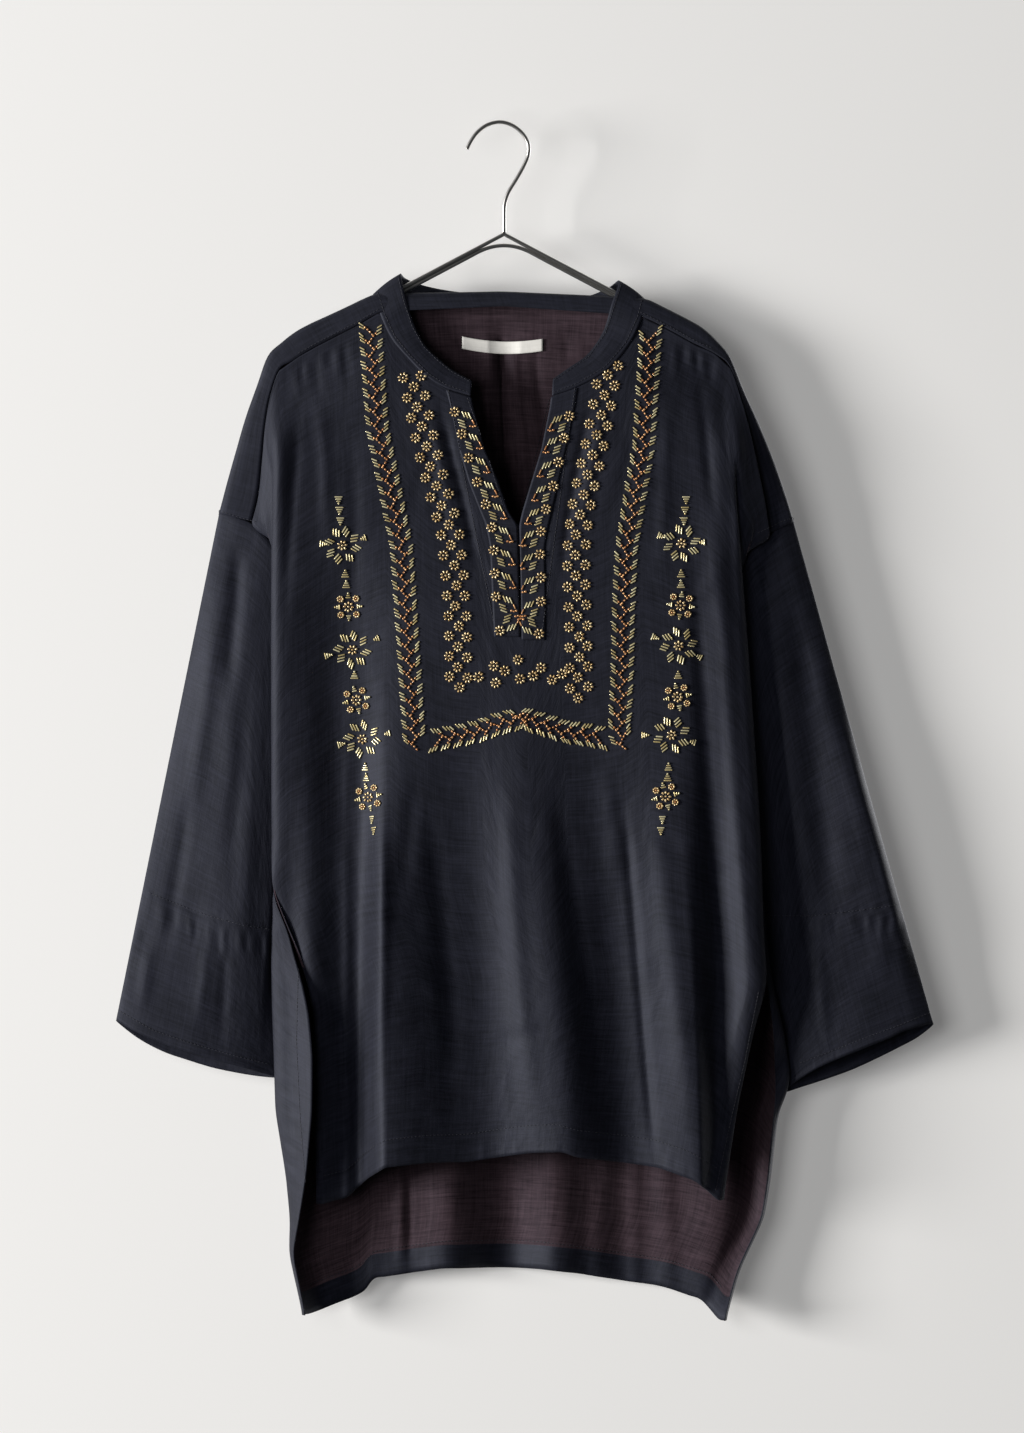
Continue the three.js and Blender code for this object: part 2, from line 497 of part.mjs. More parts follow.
function backGrid() {
  const grid = OVER_SHOULDER.map((step) => {
    const row = [];
    for (let c = 0; c < COLUMNS; c += 1) {
      const { seam, side } = columnTop(c);
      const z = lerp(seam[1], side[1], step.up) - step.drop;
      row.push(new THREE.Vector3(lerp(seam[0], side[0], step.up), step.y, z));
    }
    return row;
  });
  for (let r = 1; r <= ROWS; r += 1) {
    const row = [];
    for (let c = 0; c < COLUMNS; c += 1) {
      const [sideX, sideZ] = columnTop(c).side;
      const hemX = backAcross(c, BACK_LEVEL)[0];
      const topZ = sideZ - RIDGE_DROP;
      const z = lerp(topZ, lookUp(BACK_HEM, 'x', 'z', hemX), (r / ROWS) ** 1.25);
      const [x, y] = backAcross(c, z);
      const spread = ease((topZ - z) / (isSide(c) ? DROP_FAN : FAN));
      const startY = isSide(c) ? BEHIND_RIDGE : backStart(sideX);
      row.push(new THREE.Vector3(lerp(sideX, x, spread), lerp(startY, y, spread), z));
    }
    grid.push(row);
  }
  return grid;
}

// Neck opening: the collar seam of the front with the slit, and that of the back.
const CUT_TOP = -120;
const frontSeam = COLLAR.filter((row) => row.on !== 'back').map((row) => [row.seamX, row.seamZ]);
const backSeam = COLLAR.filter((row) => row.on !== 'front').map((row) => [row.seamX, row.seamZ]);
const leftSeam = frontSeam.filter(([x]) => x < 0).reverse();
const rightSeam = frontSeam.filter(([x]) => x > 0).reverse();
const slitRows = SLIT.filter((row) => row.z < -260 && row.z > SLIT_END);
const frontOpening = [
  [leftSeam[0][0], CUT_TOP], ...leftSeam,
  ...slitRows.map((row) => [row.left, row.z]),
  [lookUp(SLIT, 'z', 'left', SLIT_END), SLIT_END], [lookUp(SLIT, 'z', 'right', SLIT_END), SLIT_END],
  ...[...slitRows].reverse().map((row) => [row.right, row.z]),
  ...rightSeam, [rightSeam[rightSeam.length - 1][0], CUT_TOP],
];
const backOpening = [
  [backSeam[0][0], CUT_TOP], ...backSeam, [backSeam[backSeam.length - 1][0], CUT_TOP],
];
const frontCut = cutter(frontOpening, -90, 0.01);
const backCut = cutter(backOpening, 0, 90);

const largest = (solid) => (
  solid.decompose().reduce((best, part) => (part.volume() > best.volume() ? part : best)));
const fatFront = toSolid(wallGeometry(frontGrid(), { grow: TRIM_GAP }));
const fatBack = toSolid(wallGeometry(backGrid(), { side: -1, grow: TRIM_GAP }));
const front = toSolid(wallGeometry(frontGrid())).subtract(frontCut);
const back = largest(toSolid(wallGeometry(backGrid(), { side: -1 }))
  .subtract(frontCut).subtract(backCut).subtract(fatFront));

// ---- collar, plackets and label -----------------------------------------------------------
const COLLAR_STEPS = 46;
const COLLAR_ROWS = 3;
const COLLAR_CLEAR = 1.6; // band starts this far above the cut edge of the panels
const COLLAR_BOW = 1.5; // how far the band bows outwards between its edges

function collarGrid() {
  const seamDepth = { front: frontFace, ridge: () => 0, back: backFace };
  const along = (points) => (
    new THREE.CatmullRomCurve3(points, false, 'centripetal').getPoints(COLLAR_STEPS));
  const seam = along(COLLAR.map(({ on, seamX, seamZ }) => (
    new THREE.Vector3(seamX, seamDepth[on](seamX, seamZ), seamZ))));
  const top = along(COLLAR.map(({ topX, topY, topZ }) => new THREE.Vector3(topX, topY, topZ)));
  const grid = [];
  for (let r = 0; r <= COLLAR_ROWS; r += 1) {
    grid.push(seam.map((point, i) => {
      const rise = top[i].clone().sub(point);
      const start = point.clone().addScaledVector(rise.clone().normalize(), COLLAR_CLEAR);
      const place = start.lerp(top[i], r / COLLAR_ROWS);
      place.z += COLLAR_BOW * Math.sin((Math.PI * r) / COLLAR_ROWS);
      return place;
    }));
  }
  return grid;
}

// Strip lying on the front between two heights and two edge columns of the slit table.
const PLACKET_ROWS = 18;
const PLACKET_COLUMNS = 3;

function placketGrid(outer, inner, topOuter, topInner, bottom) {
  const grid = [];
  for (let r = 0; r <= PLACKET_ROWS; r += 1) {
    const row = [];
    for (let c = 0; c <= PLACKET_COLUMNS; c += 1) {
      const share = c / PLACKET_COLUMNS;
      const z = lerp(lerp(topOuter, topInner, share), bottom, r / PLACKET_ROWS);
      const x = lerp(lookUp(SLIT, 'z', outer, z), lookUp(SLIT, 'z', inner, z), share);
      row.push(new THREE.Vector3(x, frontDepth(x, z) - STRIP_WALL - 0.6, z));
    }
    grid.push(row);
  }
  return grid;
}

function labelGrid() {
  const grid = [];
  for (let r = 0; r <= 2; r += 1) {
    const row = [];
    for (let c = 0; c <= 8; c += 1) {
      const x = LABEL.x + LABEL.width * (c / 8 - 0.5);
      const droop = LABEL.height * 0.5 * (1 - (2 * c / 8 - 1) ** 2);
      const z = LABEL.z + LABEL.height * (0.5 - r / 2) - droop - LABEL.tilt * x;
      row.push(new THREE.Vector3(x, backFace(x, z) - LABEL_OFF, z));
    }
    grid.push(row);
  }
  return grid;
}

// ---- sleeves ------------------------------------------------------------------------------
function sleeveGrid(table) {
  const loop = (keys) => new THREE.CatmullRomCurve3(
    table.map((row) => new THREE.Vector3(row[keys[0]], row[keys[1]], row[keys[2]])),
    true, 'centripetal');
  const armhole = loop(['x', 'y', 'z']);
  const cuff = loop(['cuffX', 'cuffY', 'cuffZ']);
  const grid = [];
  for (let r = 0; r <= SLEEVE_RINGS; r += 1) {
    const t = r / SLEEVE_RINGS;
    const row = [];
    for (let c = 0; c < SLEEVE_ROUND; c += 1) {
      const place = armhole.getPoint(c / SLEEVE_ROUND).lerp(cuff.getPoint(c / SLEEVE_ROUND), t);
      const half = (2 * c) / SLEEVE_ROUND;
      const across = half <= 1 ? half : 2 - half;
      const puff = Math.sin(Math.PI * Math.min(1, across / 0.7)) * Math.sin(Math.PI * t);
      place.y += (half <= 1 ? -1 : 1) * SLEEVE_FULLNESS * puff;
      row.push(place);
    }
    grid.push(row);
  }
  return grid;
}

function sleeve(table, side) {
  const tube = toSolid(wallGeometry(sleeveGrid(table), { wraps: true, side }));
  return largest(tube.subtract(fatFront).subtract(fatBack).subtract(front).subtract(back));
}

// ---- hanger -------------------------------------------------------------------------------
function wireGeometry(path, steps) {
  const corners = Array.from({ length: WIRE_SIDES }, (_, i) => {
    const angle = (2 * Math.PI * (i + 0.5)) / WIRE_SIDES;
    return new THREE.Vector2(Math.cos(angle), Math.sin(angle)).multiplyScalar(WIRE / 2);
  });
  return new THREE.ExtrudeGeometry(new THREE.Shape(corners), {
    steps, bevelEnabled: false, extrudePath: path,
  });
}

const APEX = -104; // centre line where the two arms meet under the stem
const ARM_SLOPE = 0.527;
const ARM_REACH = 190; // how far each arm runs into its shoulder
const WIRE_APART = 4.6; // level of the lower wire under the upper one, along the arms
const BEND_HALF = 30; // the lower wire bends flat under the apex
const BEND_CREST = -114.4;

function hangerHook() {
  const rows = [
    { x: -34.8, z: -24 }, { x: -31.4, z: -17 }, { x: -25.4, z: -8.5 }, { x: -16, z: -1.4 },
    { x: HOOK_TOP.x, z: HOOK_TOP.z }, { x: 7.5, z: -1.6 }, { x: 17, z: -9 }, { x: 22.4, z: -18 },
    { x: 22.8, z: -29 }, { x: 19, z: -39 }, { x: 11.8, z: -52 }, { x: 4, z: -65 },
    { x: 0.5, z: -76 }, { x: 0, z: -88 }, { x: 0, z: APEX + WIRE / 2 + SEAM_GAP },
  ];
  const points = rows.map((row) => new THREE.Vector3(row.x, 0, row.z));
  return wireGeometry(new THREE.CatmullRomCurve3(points, false, 'centripetal'), 40);
}

function armLevel(x) {
  return APEX - Math.abs(x) * ARM_SLOPE;
}

function hangerUpperWire() {
  const apex = new THREE.Vector3(0, 0, APEX);
  const leftEnd = new THREE.Vector3(-ARM_REACH, 0, armLevel(ARM_REACH));
  const rightEnd = new THREE.Vector3(ARM_REACH, 0, armLevel(ARM_REACH));
  const path = new THREE.CurvePath();
  path.add(new THREE.LineCurve3(leftEnd, apex));
  path.add(new THREE.LineCurve3(apex, rightEnd));
  return wireGeometry(path, 20);
}

function hangerLowerWire() {
  const half = [16, BEND_HALF, 38, 60, 120];
  const places = [
    -ARM_REACH, ...half.map((x) => -x).reverse(), 0, ...half, ARM_REACH,
  ];
  const points = places.map((x) => {
    const across = Math.min(1, Math.abs(x) / BEND_HALF);
    const beside = armLevel(x) - WIRE_APART;
    const bent = lerp(BEND_CREST, armLevel(BEND_HALF) - WIRE_APART, across * across);
    return new THREE.Vector3(x, 0, across < 1 ? bent : beside);
  });
  return wireGeometry(new THREE.CatmullRomCurve3(points, false, 'centripetal'), 44);
}

// ---- the top on its hanger, with the inside top of the hook at the origin ---------------------
const navy = 0x23232b;
const garment = new THREE.Group();
garment.add(
  piece('front_panel', toGeometry(front), cloth(navy)),
  piece('back_panel', toGeometry(back), cloth(navy)),
  piece('sleeve_left', toGeometry(sleeve(SLEEVE_LEFT, 1)), cloth(navy)),
  piece('sleeve_right', toGeometry(sleeve(SLEEVE_RIGHT, -1)), cloth(navy)),
  piece('collar_band', wallGeometry(collarGrid(), { thickness: 1.6 }), cloth(navy)),
  piece('placket_left', wallGeometry(
    placketGrid('outerLeft', 'left', -251, -258, -483), { thickness: STRIP_WALL }), cloth(navy)),
  piece('placket_right', wallGeometry(
    placketGrid('outerRight', 'right', -249.5, -258, -486), { thickness: STRIP_WALL, side: -1 }),
  cloth(navy)),
  piece('neck_label', wallGeometry(labelGrid(), { thickness: STRIP_WALL }), cloth(0xd8d4c8)),
  piece('hanger_hook', hangerHook(), steel),
  piece('hanger_upper_wire', hangerUpperWire(), steel),
  piece('hanger_lower_wire', hangerLowerWire(), steel),
);
garment.position.set(-HOOK_TOP.x, 0, WIRE / 2 - HOOK_TOP.z);

const top = new THREE.Group();
top.add(garment);

export default top;
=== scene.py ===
# Looks of the embroidered top on its wire hanger, for Blender 4.5. Tables are in millimetres and
# the front faces -Y.
import math
import random

import bmesh
import bpy
import numpy as np
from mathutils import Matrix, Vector
from mathutils.bvhtree import BVHTree


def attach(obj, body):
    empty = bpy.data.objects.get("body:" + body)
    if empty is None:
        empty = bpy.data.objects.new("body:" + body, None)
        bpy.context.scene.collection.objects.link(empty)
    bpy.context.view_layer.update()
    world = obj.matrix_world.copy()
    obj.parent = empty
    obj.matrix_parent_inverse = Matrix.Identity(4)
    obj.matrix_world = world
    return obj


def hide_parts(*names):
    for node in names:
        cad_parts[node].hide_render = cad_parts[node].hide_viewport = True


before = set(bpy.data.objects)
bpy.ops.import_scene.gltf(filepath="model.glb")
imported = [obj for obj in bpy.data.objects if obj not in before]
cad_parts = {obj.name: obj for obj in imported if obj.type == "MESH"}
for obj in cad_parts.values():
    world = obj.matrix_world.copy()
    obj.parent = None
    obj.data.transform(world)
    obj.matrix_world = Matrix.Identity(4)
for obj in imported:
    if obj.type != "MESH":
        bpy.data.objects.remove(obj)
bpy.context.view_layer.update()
random.seed(11)

# ---- camera -------------------------------------------------------------------------------
VIEW_CENTRE = (0.0113, -0.5569)
VIEW_DISTANCE = 7.0
VIEW_HEIGHT = 1.347

scene = bpy.context.scene
lens_data = bpy.data.cameras.new("camera")
lens_data.sensor_width = 36.0
lens_data.lens = lens_data.sensor_width * VIEW_DISTANCE / VIEW_HEIGHT
lens_data.clip_end = 40.0
camera = bpy.data.objects.new("camera", lens_data)
camera.location = (VIEW_CENTRE[0], -VIEW_DISTANCE, VIEW_CENTRE[1])
camera.rotation_euler = (math.pi / 2, 0, 0)
scene.collection.objects.link(camera)
scene.camera = camera

# ---- tables: the same sizes as the solids, in the tables' own millimetres -------------------
OFFSET = np.array([3.8, 0.0, 0.5])  # from the tables' zero to the hook's inside top
PIXEL, ZERO_X, ZERO_Y = 0.94, 504.0, 123.5  # a measured pixel in mm, and the tables' zero in pixels
WALL = 1.2
ROWS_POWER_FRONT, ROWS_POWER_BACK = 1.15, 1.25
RIDGE_OUT, CHEST_OUT, BACK_OUT, DRAPE = 6, 24, 22, 90
FOLDS_START, FOLDS_FULL, HEM_LEVEL, BACK_LEVEL = -470, -860, -1000, -1090
SHOULDER_DEPTH, BEHIND_RIDGE, RIDGE_DROP = -8, 4, 2.5
NECK_X, NECK_HALF, NECK_OUT = 5, 125, 11
FAN, DROP_FAN, TURN, SEAM_GAP = 70, 18, 18, 0.6

# (x, z)
RIDGE = [(-222, -220), (-205, -201.5), (-188, -191), (-151, -174), (-122, -160), (0, -158),
         (132, -164), (155, -175), (183, -189.5), (197, -200), (213, -222)]
FORWARD_SEAM = [(-211, -232), (-192, -218.5), (-173, -208), (-137, -189.5), (-116, -177), (0, -172),
                (129, -181), (155, -194), (182, -209), (197, -215), (212, -229)]
# (seam x, seam z, side x, side z), from the armhole up
DROP_LEFT = [(-237, -374, -268, -367), (-231, -350, -261, -340), (-227.5, -316, -252, -308),
             (-224.5, -282, -243, -277), (-219.5, -254, -232, -246)]
DROP_RIGHT = [(250, -385, 272.5, -374.5), (246, -358, 264, -347), (239.5, -326, 252.5, -314),
              (231, -288, 239, -281), (222, -255, 225.5, -251)]
# (z, fold, edge, depth)
FRONT_LEFT = [(-238, -222, -219, -8), (-284, -222, -224, -8), (-318, -217, -227, -8),
              (-374, -217, -237, -8), (-389, -217.5, -218, -10), (-448, -218, -208, -9.8),
              (-542, -218, -204, -7.8), (-630, -218, -206, -6.6), (-680, -218, -211, -8),
              (-717, -217.5, -216, -13), (-732, -212, -211, -14), (-758, -201.5, -200.5, -15),
              (-775, -196, -193, -12), (-808, -184, -180, -2), (-836, -179, -174, 4),
              (-1015, -176, -171, 6)]
FRONT_RIGHT = [(-238, 218, 221, -8), (-297, 216, 232, -8), (-347, 217, 244, -8), (-385, 220, 250, -8),
               (-400, 221, 228, -10), (-448, 225, 217, -9.8), (-542, 232, 217, -7.8),
               (-630, 238, 225, -6.6), (-690, 241, 234, -8), (-740, 242.5, 239.5, -12),
               (-780, 244.5, 243.5, -15), (-804, 246.3, 245.3, -16), (-822, 242.5, 241.5, -16),
               (-852, 234, 233, -15), (-923, 219, 217.5, -14), (-1011, 205.5, 203.5, -14)]
# (z, fold, edge, depth, turn)
BACK_LEFT = [(-246, -226, -232, 3, 8), (-308, -246, -252, 3, 8), (-340, -255, -261, 3, 8),
             (-367, -262, -268, 3, 8), (-400, -236, -240, 9.6, 14), (-448, -219, -211, 9.4, 15),
             (-542, -213, -205, 7.4, 14), (-630, -216, -207, 4, 11), (-680, -219, -212.5, -1, 6),
             (-717, -221, -218.6, -10.5, -4), (-732, -220, -214.8, -12, -5), (-758, -219, -203.2, -15, -5),
             (-775, -219, -198.8, -16, -5), (-808, -218.5, -189, -21, -5), (-836, -218, -183, -25, -5),
             (-875, -216.5, -179.5, -28, -5), (-928, -215, -180, -29, -4), (-989, -205, -186, -26, -3),
             (-1030, -201, -193, -18, 0), (-1062, -202, -199, -8, 2), (-1120, -189, -187, -4, 4)]
BACK_RIGHT = [(-251, 219, 225.5, 3, 8), (-314, 246.5, 252.5, 3, 8), (-347, 258, 264, 3, 8),
              (-374, 267, 272.5, 3, 8), (-405, 244, 247, 9.6, 14), (-448, 228, 220, 9.4, 15),
              (-542, 226, 218, 7.4, 14), (-630, 235, 226, 4, 11), (-690, 241, 235, -2, 5),
              (-740, 244.5, 240.7, -10, -3), (-780, 248, 244.7, -13, -5), (-804, 251.5, 246.8, -14, -6),
              (-850, 262, 253, -15, -8), (-890, 269, 255, -15, -8), (-909, 267.5, 255.5, -14, -7),
              (-930, 258, 254.5, -12, -4), (-993, 251, 248.5, -9, 0), (-1030, 245, 243, -7, 3),
              (-1078, 222, 220, -4, 6), (-1126, 208, 206.5, -1, 7)]
# (x, z)
FRONT_HEM = [(-173, -1015), (-146, -1009), (-129, -991), (-112, -979), (-71, -975), (-35, -975),
             (22, -966), (51, -964.5), (67, -970), (142, -980), (176, -991), (205, -1010)]
BACK_HEM = [(-187, -1120), (-168, -1113), (-134, -1101), (-125, -1088), (-94, -1083), (-56, -1077),
            (36, -1078.5), (65, -1082), (111, -1090), (150, -1095), (197, -1109), (207, -1125)]
# (chest x, hem x, out)
FRONT_FOLDS = [(-205, -205, -20), (-165, -153, -24), (-114, -114, 7), (-45, -15, -10), (12, 60, 9),
               (78, 115, -10), (158, 183, 7), (202, 200, -7), (228, 236, 3)]
BACK_FOLDS = [(-205, -205, 0), (-165, -160, 4), (-128, -127, -5), (-90, -92, 5), (-45, -52, -4),
              (6, 8, 6), (48, 50, -3), (84, 82, 5), (124, 122, -5), (166, 160, 5), (215, 205, -1)]
PLEAT_X, PLEAT_HALF, PLEAT_OUT, PLEAT_TOP, PLEAT_END = 0, 15, 4, -187, -470
# (where, seam x, seam z, top x, top y, top z), from the left front end round the back
COLLAR = [
    ("front", -31, -256, -30, -17, -243), ("front", -55, -248.5, -49, -15, -232),
    ("front", -72, -238, -60, -13, -223), ("front", -90, -220, -74, -10, -209),
    ("front", -105, -202, -84, -8, -190), ("front", -115, -181, -92, -7, -165),
    ("ridge", -122, -160, -97, 0, -141.5), ("back", -108, -171, -93, 10, -145),
    ("back", -85, -178, -78, 15, -151), ("back", -51, -183, -48, 18, -157),
    ("back", -1, -187.5, -1, 20, -161), ("back", 41, -187.5, 41, 20, -163),
    ("back", 79, -185, 79, 17, -161.5), ("back", 109, -178, 98, 12, -154),
    ("ridge", 133, -166, 108, 0, -148), ("front", 129, -183, 101, -7, -170),
    ("front", 117, -208, 93, -8, -196), ("front", 97, -231, 78, -11, -218),
    ("front", 70, -247, 60, -14, -231), ("front", 45, -256, 46, -17, -241)]
# (z, left, right, outer left, outer right)
SLIT = [(-249, -32, 45, -55, 69), (-267, -29, 43, -50, 66.5), (-307, -18, 35, -42, 58),
        (-338, -5, 25.5, -33, 51), (-366, 4.5, 17, -22, 45), (-378, 12.8, 14.4, -17, 42),
        (-398, 13.4, 15, -13, 38), (-447, 14.4, 16, -11, 39), (-486, 15, 16.6, -9, 38.5)]
SLIT_END = -466
# (x, y, z, cuff x, cuff y, cuff z), from the outer point across the front
SLEEVE_LEFT = [
    (-268, 0, -367.5, -365, 5, -843.5), (-252, -6, -374, -348, -1, -853), (-237, -8, -380, -330, -3, -861),
    (-226, -9.5, -390, -312, -4, -868), (-216.5, -9.5, -402, -294, -5, -873.5),
    (-207.5, -9, -450, -272, -4, -880), (-204.8, -7, -542, -250, -2, -886),
    (-207.5, -5, -630, -230, 3, -892), (-218.5, 2, -704, -214.5, 9, -897),
    (-209, 2.5, -630, -231, 12, -896), (-206, 6, -542, -251, 14, -893), (-212, 8, -450, -275, 15, -888),
    (-227, 8.6, -420, -298, 15, -881), (-242, 7.6, -405, -321, 14, -873), (-257, 5, -387, -345, 11, -860)]
SLEEVE_RIGHT = [
    (272.5, 0, -375, 404, 5, -846.5), (262, -6, -381, 391, -1, -849), (250, -8, -391, 377, -3, -853),
    (239, -9.5, -400, 362, -4, -860), (228, -9.5, -411, 344, -5, -867), (217, -9, -452, 323, -4, -875.5),
    (218, -7, -542, 302, -1, -884.5), (226.5, -5, -630, 282, 4, -896), (239, 2, -706, 263.5, 12, -911),
    (228, 2.5, -630, 281, 14, -906), (219, 6, -542, 303, 15, -899), (221, 8, -452, 328, 15, -890),
    (235, 8.6, -424, 350, 15, -880), (248, 7.6, -409, 371, 14, -869.5), (263, 5, -390, 390, 11, -859)]
SLEEVE_FULLNESS = 6


# ---- numbers ------------------------------------------------------------------------------
def lerp(a, b, t):
    return a + (b - a) * t


def ease(t):
    t = np.clip(t, 0.0, 1.0)
    return t * t * (3 - 2 * t)


def profile(rows, key=0, value=1, blur=0.0):
    """Value of one column of a table along its key column, softened over blur millimetres."""
    rows = sorted(rows, key=lambda row: row[key])
    keys = np.array([row[key] for row in rows], float)
    values = np.array([row[value] for row in rows], float)
    if blur <= 0:
        return lambda at: np.interp(at, keys, values)
    dense = np.arange(keys[0] - 5 * blur, keys[-1] + 5 * blur, 1.0)
    reach = int(3 * blur)
    kernel = np.exp(-0.5 * (np.arange(-reach, reach + 1) / blur) ** 2)
    soft = np.convolve(np.interp(dense, keys, values), kernel / kernel.sum(), "same")
    return lambda at: np.interp(at, dense[reach:-reach], soft[reach:-reach])


def picked(x, y):
    """Table millimetres of a place given in the pixels that the sizes were measured in."""
    return (x - ZERO_X) * PIXEL, (ZERO_Y - y) * PIXEL


def catmull(stack, steps):
    """Smooth run through a stack of arrays, at places counted in entries."""
    stack = np.asarray(stack, float)
    last = len(stack) - 1
    base = np.clip(np.floor(steps).astype(int), 0, last - 1)
    t = (steps - base).reshape((-1,) + (1,) * (stack.ndim - 1))
    p0, p1 = stack[np.maximum(base - 1, 0)], stack[base]
    p2, p3 = stack[base + 1], stack[np.minimum(base + 2, last)]
    return 0.5 * (2 * p1 + (p2 - p0) * t + (2 * p0 - 5 * p1 + 4 * p2 - p3) * t ** 2
                  + (3 * p1 - p0 - 3 * p2 + p3) * t ** 3)


def through(points, count, closed=False):
    """Centripetal curve through points, at count even places of its parameter."""
    points = np.asarray(points, float)
    n = len(points)
    spans = n if closed else n - 1
    out = []
    for i in range(count):
        place = spans * i / (count if closed else count - 1)
        k = min(int(place), spans - 1)
        t = place - k
        if closed:
            a, b, c, d = (points[(k + j) % n] for j in (-1, 0, 1, 2))
        else:
            b, c = points[k], points[k + 1]
            a = points[k - 1] if k > 0 else 2 * b - c
            d = points[k + 2] if k + 2 < n else 2 * c - b
        d0 = max(np.linalg.norm(b - a) ** 0.5, 1e-4)
        d1 = max(np.linalg.norm(c - b) ** 0.5, 1e-4)
        d2 = max(np.linalg.norm(d - c) ** 0.5, 1e-4)
        m1 = ((b - a) / d0 - (c - a) / (d0 + d1) + (c - b) / d1) * d1
        m2 = ((c - b) / d1 - (d - b) / (d1 + d2) + (d - c) / d2) * d1
        out.append(b + m1 * t + (-3 * b + 3 * c - 2 * m1 - m2) * t ** 2
                   + (2 * b - 2 * c + m1 + m2) * t ** 3)
    return np.array(out)


SOFT = 7.0
ridge_z = profile(RIDGE, blur=3)
seam_z = profile(FORWARD_SEAM, blur=3)
front_hem = profile(FRONT_HEM, blur=3)
back_hem = profile(BACK_HEM, blur=3)
front_left, front_right, back_left, back_right = (
    [profile(table, value=k, blur=SOFT) for k in range(1, len(table[0]))]
    for table in (FRONT_LEFT, FRONT_RIGHT, BACK_LEFT, BACK_RIGHT))
slit_left, slit_right, outer_left, outer_right = (profile(SLIT, value=k, blur=2) for k in (1, 2, 3, 4))


def fold_wave(folds, x, z):
    down = ease((FOLDS_START - z) / (FOLDS_START - HEM_LEVEL))
    strength = ease((FOLDS_START - z) / (FOLDS_START - FOLDS_FULL))
    places = [lerp(fold[0], fold[1], down) for fold in folds]
    wave = np.full(np.broadcast(x, z).shape, float(folds[0][2]))
    for i in range(1, len(folds)):
        t = ease((x - places[i - 1]) / (places[i] - places[i - 1]))
        wave = wave + (folds[i][2] - folds[i - 1][2]) * t
    return wave * strength


def front_depth(x, z):
    below = np.maximum(0, ridge_z(x) - z)
    return -(RIDGE_OUT + CHEST_OUT * (1 - np.exp(-below / DRAPE))) - fold_wave(FRONT_FOLDS, x, z)


def back_depth(x, z):
    below = np.maximum(0, ridge_z(x) - z)
    across = np.maximum(0, 1 - ((x - PLEAT_X) / PLEAT_HALF) ** 2)
    pleat = PLEAT_OUT * across * ease((z - PLEAT_END) / (PLEAT_TOP - PLEAT_END))
    return 4 + BACK_OUT * (1 - np.exp(-below / DRAPE)) + pleat + fold_wave(BACK_FOLDS, x, z)


def front_face(x, z):
    return lerp(SHOULDER_DEPTH, front_depth(x, z), ease((seam_z(x) - z) / FAN))


def back_start(x):
    return BEHIND_RIDGE + NECK_OUT * np.maximum(0, 1 - ((x - NECK_X) / NECK_HALF) ** 2)


def back_face(x, z):
    return lerp(back_start(x), back_depth(x, z), ease((ridge_z(x) - RIDGE_DROP - z) / FAN))


# ---- grids of the cloth pieces, in the tables' millimetres -----------------------------------
SIDE_STEPS = 4  # fine cells for each of the turned-in columns of a side
SIDE_COLUMNS, MAIN_CELLS = 5, 34
LAST_COLUMN = MAIN_CELLS + 2 * SIDE_COLUMNS


def top_points(half):
    """Upper edge of one half of the front: shoulder seam, collar seam, then the open slit."""
    way = -1 if half == "left" else 1
    seam = [row for row in FORWARD_SEAM if way * row[0] > 115]
    collar = [(row[1], row[2]) for row in COLLAR if row[0] == "front" and way * row[1] > 0]
    edge = [(row[1] if half == "left" else row[2], row[0]) for row in SLIT if -380 < row[0] < -260]
    return sorted(seam + collar + edge)


TOPS = {half: profile(top_points(half)) for half in ("left", "right")}
SLIT_SHARE = 0.532
SLIT_TOP = -378.0


def main_x(u, z):
    return lerp(front_left[0](z) + TURN, front_right[0](z) - TURN, u)


